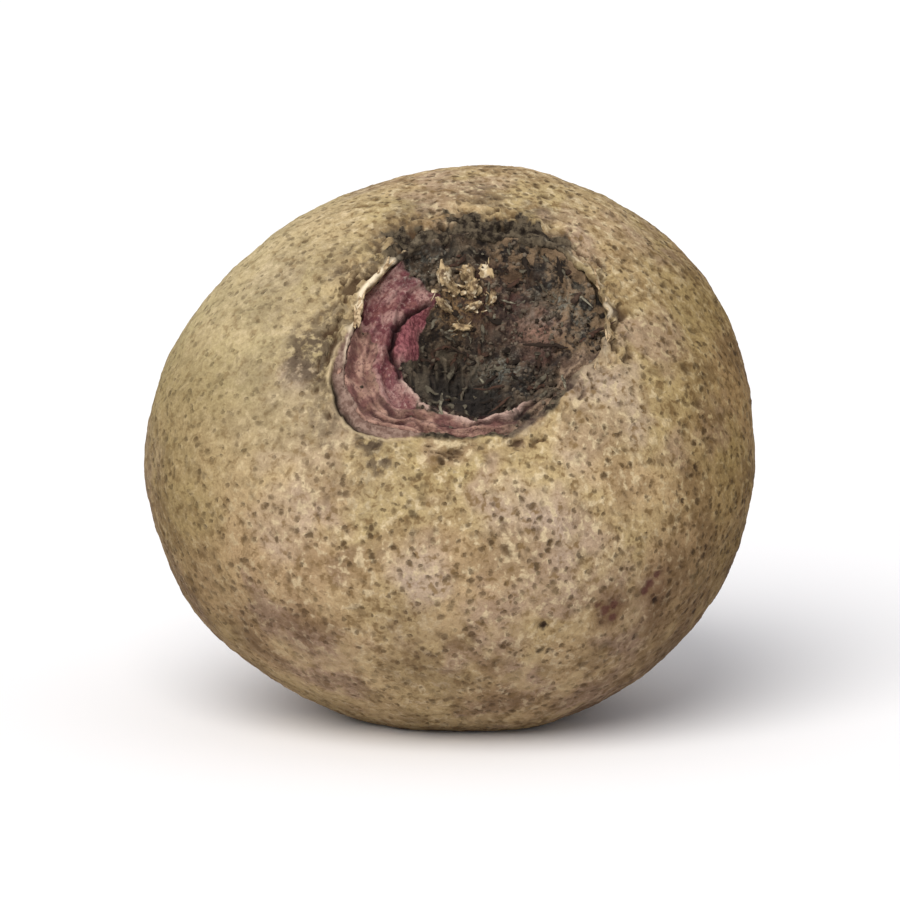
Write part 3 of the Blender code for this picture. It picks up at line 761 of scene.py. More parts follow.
def noise(tree, place, size, detail=2.0, roughness=0.5, push=None):
    """Cloudy noise whose clouds are about size metres across, on places pushed about where push says so."""
    if push:
        place = pushed(tree, place, *push)
    links = {"Vector": place, "Scale": 1 / size, "Detail": detail, "Roughness": roughness}
    return add(tree, "TexNoise", links).outputs[0]


def bumpy(tree, *rows):
    """Shading as if each row's height stood up by its distance, at its strength, on the row before."""
    below = {}
    for height, distance, strength in rows:
        links = {"Height": height, "Distance": distance, "Strength": strength, **below}
        below = {"Normal": add(tree, "Bump", links).outputs[0]}
    return below["Normal"]


# Clouds of tan, olive, pinkish brown and brown, with flecks over them, and a painted light that makes the
# upper left paler and its flecks fainter
clouds = noise(tree, place, 0.016, 3.0)
olive = noise(tree, place, 0.022)
blush = noise(tree, place, 0.012, push=(0.006, 0.006))
brown = noise(tree, place, 0.0085, 3.0, push=(0.004, 0.004))
mottle = noise(tree, place, 0.0026, 4.0, 0.62, (0.0016, 0.0016))
flecks = noise(tree, place, 0.00125, 2.0, 0.6, (0.0010, 0.0010))
across, _, height_up = add(tree, "SeparateXYZ", {0: place}).outputs
# Painted light: paler where the lamp falls, on the upper left of the skin
painted_light_upper_left = cover(tree, (across, -0.004, -0.028), (height_up, 0.024, 0.050, 0.0, 0.52))
away_from_painted_light = add(tree, "Math", {0: painted_light_upper_left, 1: -0.6, 2: 1.0}, operation="MULTIPLY_ADD").outputs[0]
rough = cover(tree, (height_up, 0.004, 0.024, 0.85, 1.0), (across, -0.034, -0.010, 0.80, 1.0), away_from_painted_light)
colour = layered(
    tree,
    "#bea87b",
    ("#c3a781", (clouds, 0.38, 0.62)),
    ("#b09b6c", (olive, 0.48, 0.66, 0.0, 0.50)),
    ("#ad9382", (blush, 0.50, 0.62, 0.0, 0.65)),
    ("#8e7454", (brown, 0.48, 0.64, 0.0, 0.62)),
    ("#806849", (mottle, 0.30, 0.52, 0.60, 0.0)),
    ("#c4b98f", painted_light_upper_left),
    ("#bba695", "pale_patch", (brown, 0.62, 0.42, 0.35, 1.0)),
    ("#dac6a0", (flecks, 0.52, 0.68, 0.0, 0.80), rough),
    ("#7b623f", (flecks, 0.30, 0.48, 0.85, 0.0), rough),
)

# Dark pits of three sizes, and specks
pit_gaps = []
for spacing, push_size in ((0.0019, 0.0009), (0.0014, 0.0008)):
    links = {"Vector": pushed(tree, place, push_size, 0.0010), "Scale": 1 / spacing, "Randomness": 1.0}
    pit_gaps.append(add(tree, "TexVoronoi", links).outputs["Distance"])
rough_patch = cover(tree, (noise(tree, place, 0.009), 0.36, 0.60, 0.15, 1.0))
wide_share = add(tree, "Math", {0: rough_patch, 1: 0.6, 2: 0.3}, operation="MULTIPLY_ADD").outputs[0]
all_pits = cover(tree, (pit_gaps[0], 0.33, 0.10), rough_patch)
for pits in (cover(tree, (pit_gaps[1], 0.34, 0.10, 0.0, 0.75)), cover(tree, "pit", wide_share)):
    all_pits = add(tree, "Math", {0: all_pits, 1: pits}, operation="MAXIMUM").outputs[0]
specks = noise(tree, place, 0.00040, 2.0, 0.7)
pitted = ("#4a3823", all_pits, rough, 0.95)
colour = layered(tree, colour, pitted, ("#6d5a3f", (specks, 0.25, 0.75, 0.35, 0.0)))

# Painted shade: the colour is multiplied darker towards the bottom and low on the right, where less light
# falls; then clouds of darker and paler brown low down vary the tone and darken it further towards the bottom
low_clouds, low_down = noise(tree, place, 0.0048, 1.0), cover(tree, (height_up, 0.030, 0.012))
colour = layered(
    tree,
    colour,
    ("#e2dedf", (height_up, 0.044, 0.002)),
    ("#d2ccce", (across, 0.004, 0.032), (height_up, 0.036, 0.012)),
    how="MULTIPLY",
)
colour = layered(
    tree,
    colour,
    ("#5f4935", (low_clouds, 0.50, 0.36, 0.0, 0.38), low_down),
    ("#b59e77", (low_clouds, 0.52, 0.66, 0.0, 0.42), low_down),
)
# More painted shade: multiplied darker along the left edge and over the right side, where the light falls off
colour = layered(
    tree,
    colour,
    ("#f8f6f5", (across, -0.012, -0.034), (height_up, 0.032, 0.008)),
    ("#c6bca5", (across, 0.016, 0.038)),
    ("#d1ccc1", (across, -0.018, -0.038), (height_up, 0.058, 0.044)),
    how="MULTIPLY",
)

# What the skin has been through: grime, creases, rot, peeling, bruises, wounds, pocks and torn edges; the
# pale torn and peeled edges also carry a painted highlight, and the corner crack a painted shadow
rot_colour = layered(tree, "#27201a", ("#5f5444", (noise(tree, place, 0.0011, 3.0, 0.65), 0.38, 0.62)))
peel_colour = layered(tree, "#6d554b", ("#91796c", (noise(tree, place, 0.0009, 3.0, 0.6), 0.38, 0.62)))
colour = layered(
    tree,
    colour,
    ("#6a5036", "tail", (mottle, 0.30, 0.60, 0.75, 0.25)),
    ("#4f4135", "grime", (noise(tree, place, 0.0013, 3.0, 0.6), 0.36, 0.56, 0.20, 1.0)),
    ("#463323", "crease", 0.88),
    (rot_colour, "rot"),
    (peel_colour, "peeled"),
    ("#4f2f28", "bruise"),
)
ragged_place = pushed(tree, place, 0.0008, 0.0007)
for code, row in (("#4e2c28", WOUNDS), ("#24160f", POCKS)):
    for spot, size, strength in row:
        centre = tuple(as_it_lies(np.array([spot]))[0])
        gap = add(tree, "VectorMath", {0: ragged_place, 1: centre}, operation="DISTANCE").outputs["Value"]
        colour = layered(tree, colour, (code, (gap, 1.6 * size, 0.7 * size, 0.0, strength)))
# Pale torn and peeled edges, partly painted highlight, and the painted shadow in the corner crack
colour = layered(tree, colour, ("#ead9bc", "torn_edge_and_highlight"), ("#cdb794", "peel_edge_and_highlight", 0.8), ("#1f1711", "crack_shadow"))

normal = bumpy(
    tree,
    (cover(tree, all_pits, -1.0), 0.00022, 0.9),
    (flecks, 0.00030, 0.7),
    (mottle, 0.00050, 0.7),
    (specks, 0.00012, 0.8),
)
plug(tree, surface, {"Base Color": colour, "Normal": normal, "Roughness": 0.85, "Specular IOR Level": 0.10})

root_skin = new_piece("root_skin", skin_points, skin_faces, cork, marks)
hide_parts("beetroot")


# Where the leaves were twisted and cut off, the crown's own tissue lies open in a sunk scar: terraces of old
# leaf bases round a rotted hollow, dried dark and crumbly, with a shelf of raw dark-pink flesh on the left
# where the knife went deeper. Grey-green mould has started in the hollow and on the right.
WALL_DROP, WALL_WIDTH, TORN_WALL_WIDTH = 0.0017, 0.10, 0.05
TERRACES = (
    (0.86, 0.0007, 0.07),
    (0.74, 0.0010, 0.08),
    (0.58, 0.0012, 0.16),
    (0.40, 0.0008, 0.30),
)
TERRACE_EDGE, TERRACE_WANDER = 0.00028, 0.045
SHELF_TURN, SHELF_SPREAD = math.radians(170), math.radians(38)
SHELF_PLACE, SHELF_WIDTH, SHELF_HEIGHT = 0.66, 0.17, 0.0013
HOLLOW_PLACE, HOLLOW_RADIUS, HOLLOW_DEPTH = (-0.0022, -0.0030), 0.0056, 0.0026
MOUND_PLACE, MOUND_RADIUS, MOUND_HEIGHT = (-0.0008, 0.0076), 0.0040, 0.0022
SCAR_COLUMNS = 768
SCAR_HALVING = (0.0085, 0.0042, 0.0021)
SCAR_RINGS = 150
SCAR_REACH = 1.045
UNDER_SHARES = (0.95, 0.75, 0.5, 0.25)
FLOOR_SHIFT = 0.0016

# The crease in the flesh shelf, where an outer leaf base folds over an inner one
CREASE_FROM, CREASE_TO = math.radians(138), math.radians(215)
CREASE_START, CREASE_GROWTH = 0.0070, 0.0048
CREASE_WIDTH, CREASE_DEPTH = 0.00042, 0.0011
FLESH_START = 0.0062

# The scar's fine relief, and the places on its floor as (across, up, size)
RAGGED_SIZE, RAGGED_BY = 0.0022, 0.0006
LARGE_CRUMB, LARGE_CRUMB_HEIGHT = 0.00105, 0.00080
SMALL_CRUMB, SMALL_CRUMB_HEIGHT = 0.00052, 0.00036
FIBRE_PITCH, FIBRE_HEIGHT, FIBRES_ROUND = 0.00034, 0.00016, 2.6
RIDGE_PLACE, RIDGE_HEIGHT, RIDGE_WIDTH = 0.0114, 0.00050, 0.00042
LEDGE_LINE_DEPTH, DEEP_DROP, FOLD_RISE, LUMP_RISE, UNEVENNESS = 0.00042, 0.0016, 0.0006, 0.0007, 0.00075
STREAK_PITCH, STREAK_LENGTH, STREAK_HEIGHT = 0.00042, 0.0030, 0.00045
STREAKED, SUNKEN = (-0.0045, -0.0045, 0.0046), (-0.0031, -0.0070, 0.0030)
RIGHT_LUMP = (0.0086, 0.0004, 0.0028)
DARKEST, LESS_DARK = (-0.0031, -0.0068, 0.0038), (0.0010, -0.0100, 0.0040)
MOULDY = ((0.0036, -0.0055, 0.0034), (0.0110, 0.0030, 0.0045), (-0.0060, 0.0105, 0.0036))
RED_BROWN = ((0.0036, 0.0050, 0.0042), (0.0084, -0.0034, 0.0022))
STRAW_PLACE = (-0.0018, 0.0052, 0.0036)
UNDER_SCAR, UNDER_BOWL = 0.0032, 0.0098


def scar_top(reach, turn):
    """Height that the scar adds to the plain crown: wall, terraces, fleshy shelf, hollow and mound."""
    out = reach / scar_rim(turn)
    sharp = np.clip(torn(turn), 0, 1)
    width = WALL_WIDTH - (WALL_WIDTH - TORN_WALL_WIDTH) * sharp
    edge = np.maximum(smooth_step((1 - out) / width), sharp**2)
    height = -WALL_DROP * edge
    height = height - 0.0010 * smooth_step((out - 0.975) / 0.04) * (1 - sharp)
    for i, (place, drop, spread) in enumerate(TERRACES):
        shift = TERRACE_WANDER * np.cos((3 + i) * turn + 1.7 * (i + 1)) * math.sin(math.pi * place)
        inside = place + shift - out
        steep = 0.6 * spread
        height = height - drop * smooth_step((inside - 0.2 * spread) / steep)
        height = height + TERRACE_EDGE * bell(inside + 0.1 * spread, 0.3 * spread)
    shelf_side = bell(turn_gap(turn, SHELF_TURN), SHELF_SPREAD)
    height = height + SHELF_HEIGHT * shelf_side * bell(out - SHELF_PLACE, SHELF_WIDTH)
    across, up = reach * np.cos(turn), reach * np.sin(turn)
    hollow = HOLLOW_DEPTH * bell(np.hypot(across - HOLLOW_PLACE[0], up - HOLLOW_PLACE[1]), HOLLOW_RADIUS)
    mound = MOUND_HEIGHT * bell(np.hypot(across - MOUND_PLACE[0], up - MOUND_PLACE[1]), MOUND_RADIUS)
    return height - hollow + mound


def crown_point(reach, turn, height):
    """A point over the scar, at a distance and direction from its centre and a height over the crown."""
    across, up = SCAR_CENTRE[0] + reach * np.cos(turn), SCAR_CENTRE[1] + reach * np.sin(turn)
    from_axis = np.hypot(across, up)
    widen = swell(from_axis, np.arctan2(up, across))
    points = np.stack([across * widen, up * widen, cap_height(from_axis) + height], axis=-1)
    points[:, 2] += lumps(points)
    return points


scar_shares = np.linspace(0, SCAR_REACH, SCAR_RINGS + 1)
scar_counts = [1] + [halved(SCAR_COLUMNS, share * SCAR_RADIUS, SCAR_HALVING) for share in scar_shares[1:]]
under_counts = [SCAR_COLUMNS // 2**i for i in range(len(UNDER_SHARES))] + [1]
turns = ring_turns(scar_counts + under_counts)
shares = np.repeat((*scar_shares, *UNDER_SHARES, 0.0), scar_counts + under_counts)
top = np.arange(len(shares)) < sum(scar_counts)
reaches = shares * scar_rim(turns)
flat = around(reaches, turns, 0 * turns)
ragged = flat + RAGGED_BY * wander(flat, RAGGED_SIZE, 90, clusters, 4)
rim_reach, rim_turn = np.hypot(ragged[:, 0], ragged[:, 1]), np.arctan2(ragged[:, 1], ragged[:, 0])
ragged_out = rim_reach / scar_rim(rim_turn)

# The floor lies lower than the rim, so it shows further down: its zones are placed that much higher.
sunk = flat - np.array([0, FLOOR_SHIFT, 0]) * smooth_step((1 - shares) / 0.25)[:, None]
ragged_sunk = ragged + sunk - flat
ragged_reach, ragged_turn = np.hypot(*ragged_sunk.T[:2]), np.arctan2(ragged_sunk[:, 1], ragged_sunk[:, 0])
seen_turn = np.arctan2(sunk[:, 1], sunk[:, 0])


def blob(across, up, size):
    """A bell about a place on the scar's floor, as it shows from the front."""
    return bell(np.hypot(sunk[:, 0] - across, sunk[:, 1] - up), size)


# The zones of the scar: raw flesh, its darker inner fold, pinkish ledges at the bottom, and the dry middle.
crease_share = (seen_turn % (2 * math.pi) - CREASE_FROM) / (CREASE_TO - CREASE_FROM)
crease_reach = CREASE_START + CREASE_GROWTH * np.clip(crease_share, 0, 1.2) ** 0.75
in_crease = window(seen_turn, CREASE_FROM, CREASE_TO, math.radians(10))
crease = bell(ragged_reach - crease_reach, CREASE_WIDTH) * in_crease
flesh_edge = 1.03 - 0.24 * sector(rim_turn, 178, 240, 20)
flesh_start = FLESH_START + 0.0045 * sector(ragged_turn, 203, 250, 16)
flesh = sector(ragged_turn, 127, 232, 14) * smooth_step((ragged_reach - flesh_start) / 0.0010)
flesh = flesh * smooth_step((flesh_edge - ragged_out) / 0.05)
inner = sector(ragged_turn, 148, 203, 12) * smooth_step((crease_reach - ragged_reach) / 0.0005)
inner = inner * smooth_step((ragged_reach - FLESH_START) / 0.0010)
ledge = sector(rim_turn, 170, 286, 14) * smooth_step((ragged_out - 0.68) / 0.05) * (1 - flesh)
right_lump = blob(*RIGHT_LUMP)
slope_edge = ragged_out - 0.76 + 0.18 * clusters(flat, 0.0030, 127)
soft_slope = sector(rim_turn, 282, 352, 14) * smooth_step(slope_edge / 0.10)
ashy_edge = ragged_out - 0.56 + 0.20 * clusters(flat, 0.0030, 129)
ashy = sector(rim_turn, -20, 76, 20) * smooth_step(ashy_edge / 0.16)

# Its relief: fibres that run round the flesh, the crease, crumbs in the dark part, and streaks in the hollow.
fibre_place = [reaches / FIBRE_PITCH, turns * FIBRES_ROUND, 0.35 * turns * reaches / 0.0012]
fibre_place = np.stack(fibre_place, axis=-1)
fibres = grain(fibre_place, 1.0, 110) + 0.6 * grain(fibre_place * np.array([2.1, 1.6, 1.3]), 1.0, 111)
fibres = 0.35 * fibres + 0.9 * clusters(ragged, 0.0016, 114, 4)
crumb_away, crumb_own = nearest_seed(ragged, LARGE_CRUMB, 112)
small_away, small_own = nearest_seed(ragged, SMALL_CRUMB, 113)
crumbs = (1 - crumb_away) * (0.4 + 0.9 * crumb_own)
small_crumbs = (1 - small_away) * (0.3 + 0.7 * small_own)
rotten = np.clip(1 - flesh - 0.8 * ledge - 0.5 * soft_slope, 0, 1)
scar_relief = LARGE_CRUMB_HEIGHT * rotten * (crumbs - 0.5)
scar_relief += SMALL_CRUMB_HEIGHT * (0.15 + rotten) * (small_crumbs - 0.3)
scar_relief += FIBRE_HEIGHT * fibres * (0.4 + flesh) + FIBRE_HEIGHT * flesh * small_crumbs
inner_ridge = sector(turns, 206, 300, 14)
ridge_line = rim_reach - RIDGE_PLACE - 0.0006 * np.sin(3 * turns)
ridge = bell(ridge_line, RIDGE_WIDTH) * inner_ridge * smooth_step(0.9 + clusters(flat, 0.0020, 128))
groove = bell(ridge_line + 0.0008, 0.0004) * inner_ridge
ledge_sector = sector(turns, 212, 304, 14)
ledge_wander = 0.012 * np.cos(5 * turns + 1.0)
ledge_lines = bell(ragged_out - 0.915 - ledge_wander, 0.016) + bell(ragged_out - 0.80 + ledge_wander, 0.018)
ledge_lines = ledge_lines * ledge_sector * smooth_step(0.7 + clusters(flat, 0.0030, 121))
scar_relief += RIDGE_HEIGHT * ridge - RIDGE_HEIGHT * groove - LEDGE_LINE_DEPTH * ledge_lines
scar_relief -= DEEP_DROP * blob(*SUNKEN)
streak_place = np.stack([sunk[:, 0] / STREAK_PITCH, sunk[:, 1] / STREAK_LENGTH, 0 * turns], axis=-1)
streaks = grain(streak_place, 1.0, 122) * blob(*STREAKED)
scar_relief += STREAK_HEIGHT * streaks
scar_relief -= CREASE_DEPTH * crease
scar_relief += FOLD_RISE * inner + LUMP_RISE * right_lump * (1 + 0.5 * clusters(flat, 0.0014, 118))
scar_relief += UNEVENNESS * clusters(flat, 0.0036, 120) * (1 - 0.6 * flesh)
scar_relief *= smooth_step((1.02 - shares) / 0.06) * 0.85 + 0.15

heights = scar_top(reaches, turns) + scar_relief
heights = np.where(top, heights, -(UNDER_SCAR + UNDER_BOWL * (1 - shares**2)))
scar_points = crown_point(reaches, turns, heights)
# Painted shade: the tissue is made near black in and below the sunken hollow, where the scar is deepest
hollow_shade = np.clip(1.25 * blob(*DARKEST) + 0.8 * blob(*LESS_DARK), 0, 1)
mould = np.max([share * blob(*spot) for share, spot in zip((1.0, 0.8, 0.8), MOULDY)], axis=0)
mould = mould * (1 - 0.8 * hollow_shade) * smooth_step(0.55 + 0.9 * clusters(flat, 0.0015, 125))
scar_marks = {
    "flesh": flesh,
    "inner_fold": inner,
    "crease": np.maximum(crease, 0.85 * np.maximum(ledge_lines, groove)),
    "pale_ridge": ridge,
    "ledge": ledge,
    "slope": soft_slope,
    "ashy": ashy,
    "red_brown": np.max([blob(*spot) for spot in RED_BROWN], axis=0),
    "streak": np.clip(0.5 + 0.7 * streaks, 0, 1) * smooth_step(2 * blob(*STREAKED)),
    "pink": right_lump,
    "hollow_shade": hollow_shade,
    "mould": mould,
    "straw": blob(*STRAW_PLACE),
    "ridge": np.where(rotten > 0.5, 0.75 * crumbs + 0.45 * small_crumbs, 0.5 + 0.5 * fibres),
}
scar_marks = {name: np.clip(values, 0, 1) for name, values in scar_marks.items()}

# Opened crown tissue: near-black brown crumbs with ashy tops, and painted shade, near black, down in the sunk
# hollow; raw flesh in dull crimson and grey pink, a little moist, streaked along its fibres; dry pinkish
# ledges; and a bloom of grey-green mould.
tissue, tree, surface = new_material("opened crown tissue")
place = add(tree, "TexCoord").outputs["Object"]
blots = noise(tree, place, 0.0021, 4.0, 0.65)
fine = noise(tree, place, 0.0005, 3.0, 0.65)
wide_blots = noise(tree, place, 0.0034)
colour = layered(
    tree,
    "#201812",
    ("#564636", (blots, 0.40, 0.60)),
    ("#7a6954", ("ridge", 0.50, 0.90, 0.0, 0.75)),
    ("#1e1713", ("ridge", 0.40, 0.12, 0.0, 0.85)),
    ("#8f816e", (fine, 0.56, 0.70, 0.0, 0.55)),
    ("#1d1510", (wide_blots, 0.54, 0.40, 0.0, 0.65)),
    ("#6d6353", (wide_blots, 0.54, 0.68, 0.0, 0.35)),
    ("#8b7256", "ashy", (blots, 0.43, 0.57, 0.0, 0.70)),
    ("#4c2c26", "red_brown", (blots, 0.40, 0.60, 0.2, 0.9)),
    ("#8a6d4a", "straw", (fine, 0.4, 0.65)),
    ("#6e6250", ("streak", 0.35, 0.85, 0.0, 0.7)),
    ("#19130f", "hollow_shade", 0.88),
)
fold_colour = layered(tree, "#632932", ("#97565a", (fine, 0.36, 0.62)))
raw_flesh = layered(
    tree,
    "#6c383c",
    ("#a07a72", ("ridge", 0.25, 0.75)),
    ("#84564e", (blots, 0.46, 0.66, 0.0, 0.7)),
    ("#54262c", (fine, 0.34, 0.50, 0.75, 0.0)),
    ("#b3948a", (fine, 0.55, 0.68, 0.0, 0.65)),
    (fold_colour, "inner_fold", 0.85),
)
dry_ledge = layered(
    tree,
    "#704a44",
    ("#ad8877", ("ridge", 0.25, 0.75)),
    ("#826352", (blots, 0.45, 0.65, 0.0, 0.7)),
    ("#4f3231", (fine, 0.36, 0.50, 0.6, 0.0)),
)
dry_slope = layered(
    tree,
    "#5a4638",
    ("#99816a", (blots, 0.38, 0.62)),
    ("#43322a", (fine, 0.36, 0.52, 0.6, 0.0)),
)
links = {0: fine, 1: 0.5, 2: cover(tree, "flesh")}
broken_flesh = add(tree, "Math", links, operation="MULTIPLY_ADD").outputs[0]
colour = layered(
    tree,
    colour,
    (raw_flesh, (broken_flesh, 0.55, 0.90)),
    (dry_ledge, "ledge"),
    (dry_slope, "slope"),
    ("#94705f", "pink", (fine, 0.38, 0.58, 0.15, 0.85)),
    ("#84857a", "mould", (fine, 0.42, 0.66, 0.1, 0.85)),
    ("#bfa193", "pale_ridge"),
    ("#321519", "crease"),
)
normal = bumpy(tree, (fine, 0.00032, 0.9), (noise(tree, place, 0.00022), 0.00012, 0.9))
moist = add(tree, "Math", {0: 0.85, 1: cover(tree, "flesh", 0.22)}, operation="SUBTRACT").outputs[0]
plug(tree, surface, {"Base Color": colour, "Normal": normal, "Roughness": moist, "Specular IOR Level": 0.35})

new_piece("crown_scar_tissue", scar_points, ring_faces(scar_counts + under_counts), tissue, scar_marks)


# The stubs of the leaf stalks stand round the growing point in the spiral in which the leaves grew. Each is
# a dry hollow-backed strap, ribbed along its length and frayed where it was twisted off.
STUB_COUNT = 9
STUB_SPIRAL = math.radians(137.5)
STUB_SPACING = 0.0014
STUB_RADIUS, STUB_FLATNESS = 0.00085, 0.55
STUB_HEIGHT, STUB_LEAN, STUB_SINK = 0.0021, 0.55, 0.0016
STUB_GRAIN_SIZE, STUB_GRAIN = 0.0007, 0.00010
STUB_COLUMNS, STUB_RINGS = 40, 26
STUB_SEED = 11


def stub(number, tall, radius, seed):
    """One stalk stub: an oval section with ribs and a hollow back, carried up a leaning path, its top
    frayed."""
    turn = number * STUB_SPIRAL + 0.4
    away = np.array([math.cos(turn), math.sin(turn), 0.0])
    place = np.array(MOUND_PLACE) + STUB_SPACING * math.sqrt(number + 0.5) * away[:2]
    way = np.array([math.atan2(place[1], place[0])])
    reach = np.array([np.hypot(*place)])
    foot = crown_point(reach, way, scar_top(reach, way))[0]
    counts = [1] + [STUB_COLUMNS] * STUB_RINGS + [1]
    round_it = ring_turns(counts)
    share = np.repeat(np.linspace(0, 1, len(counts)), counts)
    up = share * (1 + 0.16 * grain(around(3, round_it, 0 * share + seed), 1.0, 200) * share**3)
    climb = -STUB_SINK + (tall + STUB_SINK) * up
    body = radius * (1.2 - 0.3 * share) * np.clip((1 - share) / 0.06, 0, 1) ** 0.5
    body = body * np.clip(share / 0.05, 0, 1) ** 0.5
    ribs = 1 + 0.09 * np.cos(9 * round_it + seed) + 0.05 * np.cos(17 * round_it + 2 * seed)
    hollow = 0.45 * bell(turn_gap(round_it, math.pi), 0.9) * smooth_step(share)
    side = np.array([-away[1], away[0], 0.0])
    wide, thin = body * ribs * np.sin(round_it), body * ribs * STUB_FLATNESS * (np.cos(round_it) + hollow)
    lean = np.array([*(away[:2] * STUB_LEAN), 1.0])
    points = foot + climb[:, None] * lean + wide[:, None] * side + thin[:, None] * away
    points += STUB_GRAIN * wander(points, STUB_GRAIN_SIZE, 210)
    return points, counts


draw = np.random.default_rng(STUB_SEED)
stub_points, stub_quads, stub_triangles, stub_tips, start = [], [], [], [], 0
for i in range(STUB_COUNT):
    tall = STUB_HEIGHT * draw.uniform(0.55, 1.2) * (1 - 0.08 * i)
    radius = STUB_RADIUS * draw.uniform(0.8, 1.2) * (1 + 0.06 * i)
    points, counts = stub(i, tall, radius, 1.7 * i)
    quads, triangles = ring_faces(counts)
    stub_points.append(points)
    stub_quads.append(quads + start)
    stub_triangles.append(triangles + start)
    stub_tips.append(points[-1])
    start += len(points)

# Dry stalk: straw and tan along the ribs, brown between them, matt as old paper.
straw_stalk, tree, surface = new_material("dry leaf stalk")
place = add(tree, "TexCoord").outputs["Object"]
blots, pale = noise(tree, place, 0.0012, 3.0, 0.6), noise(tree, place, 0.0011)
colour = layered(tree, "#5c4731", ("#bda47c", (blots, 0.35, 0.62)), ("#e2d2b2", (pale, 0.52, 0.66, 0.0, 0.8)))
normal = bumpy(tree, (noise(tree, place, 0.00035), 0.00015, 0.8))
plug(tree, surface, {"Base Color": colour, "Normal": normal, "Roughness": 0.75, "Specular IOR Level": 0.3})

stub_faces = (np.concatenate(stub_quads), np.concatenate(stub_triangles))
new_piece("leaf_stalk_stubs", np.concatenate(stub_points), stub_faces, straw_stalk)


# Fine roots grow from the two furrows and the taproot, dry and wiry as twine. They broke off short when the
# root was pulled, and hairs finer still stand between them.
ROOTLETS = (
    (0.0300, math.radians(38), 0.008),
    (0.0330, math.radians(200), 0.007),
    (0.0375, math.radians(20), 0.009),
    (0.0405, math.radians(172), 0.008),
    (0.0440, math.radians(75), 0.006),
    (0.0475, math.radians(140), 0.006),
)
ROOTLET_RADIUS, ROOTLET_SINK = 0.00055, 0.0014
ROOTLET_SEED = 23
ROOT_KINK_SIZE, ROOT_KINK = 0.0016, 0.00022
HAIR_COUNT, HAIR_SEED = 130, 31
HAIR_LENGTHS, HAIR_RADII = (0.0008, 0.0034), (0.00006, 0.00014)
HAIR_STEPS = np.linspace(0, 1, 9)[None, :, None]


def threads(paths, radii, sides, flatness=1.0):
    """Closed threads along many paths at once: round or flattened rings square to each path, with a point at
    both ends."""
    ways = np.gradient(paths, axis=1)
    ways /= np.linalg.norm(ways, axis=2, keepdims=True)
    helper = np.where(np.abs(ways[..., 2:]) < 0.9, np.array([0.0, 0, 1]), np.array([1.0, 0, 0]))
    first = np.cross(ways, helper)
    first /= np.linalg.norm(first, axis=2, keepdims=True)
    second = np.cross(ways, first)
    turn = np.linspace(0, 2 * math.pi, sides, endpoint=False)[:, None]
    spokes = np.cos(turn) * first[:, :, None] + flatness * np.sin(turn) * second[:, :, None]
    rings = paths[:, :, None] + radii[:, :, None, None] * spokes
    number, steps = paths.shape[:2]
    starts = paths[:, :1] - 0.5 * radii[:, :1, None] * ways[:, :1]
    ends = paths[:, -1:] + 0.5 * radii[:, -1:, None] * ways[:, -1:]
    points = np.concatenate([rings.reshape(number, -1, 3), starts, ends], axis=1)
    base = (np.arange(number) * points.shape[1])[:, None, None]
    step = (np.arange(steps - 1) * sides)[None, :, None]
    i = np.arange(sides)
    j = (i + 1) % sides
    ahead = base + step + sides
    quads = np.stack([base + step + i, base + step + j, ahead + j, ahead + i], axis=-1)
    base = base[:, :, 0]
    last = (steps - 1) * sides
    caps = [
        np.stack([base + steps * sides + 0 * i, base + j, base + i], axis=-1),
        np.stack([base + steps * sides + 1 + 0 * i, base + last + i, base + last + j], axis=-1),
    ]
    triangles = np.concatenate([cap.reshape(-1, 3) for cap in caps])
    return points.reshape(-1, 3), (quads.reshape(-1, 4), triangles)


def curled(foot, ways, curl, long, steps, behind=0.0):
    """Paths of a given length from each foot along its way, starting a share of that length behind it, and
    bent aside by a curl times the square of the share gone."""
    return foot[:, None] + long * (ways[:, None] * (steps - behind) + curl * steps**2)


draw = np.random.default_rng(ROOTLET_SEED)
steps = np.linspace(0, 1, 28)[:, None]
root_paths, root_radii = [], []
for depth, turn, length in ROOTLETS:
    foot = flank(np.array([depth]), np.array([turn]))[0]
    out = np.array([math.cos(turn), math.sin(turn), -0.3])
    curl = np.array([-0.5 * math.sin(turn), 0.5 * math.cos(turn), -0.5]) * draw.uniform(-1, 1)
    path = foot + out * (length * steps - ROOTLET_SINK) + curl * length * steps**2
    root_paths.append(path)
    root_radii.append(ROOTLET_RADIUS * (1 - 0.5 * steps[:, 0]))
root_paths = np.array(root_paths)
root_paths = root_paths + ROOT_KINK * wander(root_paths, ROOT_KINK_SIZE, 300, clusters, 4) * steps
root_radii = np.array(root_radii) * (1 + 0.18 * grain(root_paths.reshape(-1, 3), 0.0007, 320).reshape(-1, 28))

# Hairs stand along the two furrows and on the tail, each with a curl of its own.
draw = np.random.default_rng(HAIR_SEED)
hair_depth = draw.uniform(0.031, ROOT_HEIGHT + 0.9 * TAIL_LENGTH, HAIR_COUNT)
hair_turn = np.array(FURROW_TURNS)[draw.integers(0, 2, HAIR_COUNT)] + draw.normal(0, 0.28, HAIR_COUNT)
hair_foot = flank(hair_depth, hair_turn)
hair_way = around(1.0, hair_turn, draw.uniform(-0.9, 0.1, HAIR_COUNT))
hair_curl = draw.normal(0, 0.8, (HAIR_COUNT, 3))[:, None]
hair_long = draw.uniform(*HAIR_LENGTHS, HAIR_COUNT)[:, None, None]
hair_paths = curled(hair_foot, hair_way, hair_curl, hair_long, HAIR_STEPS, 0.1)
hair_radii = draw.uniform(*HAIR_RADII, HAIR_COUNT)[:, None] * (1 - 0.6 * HAIR_STEPS[:, :, 0])

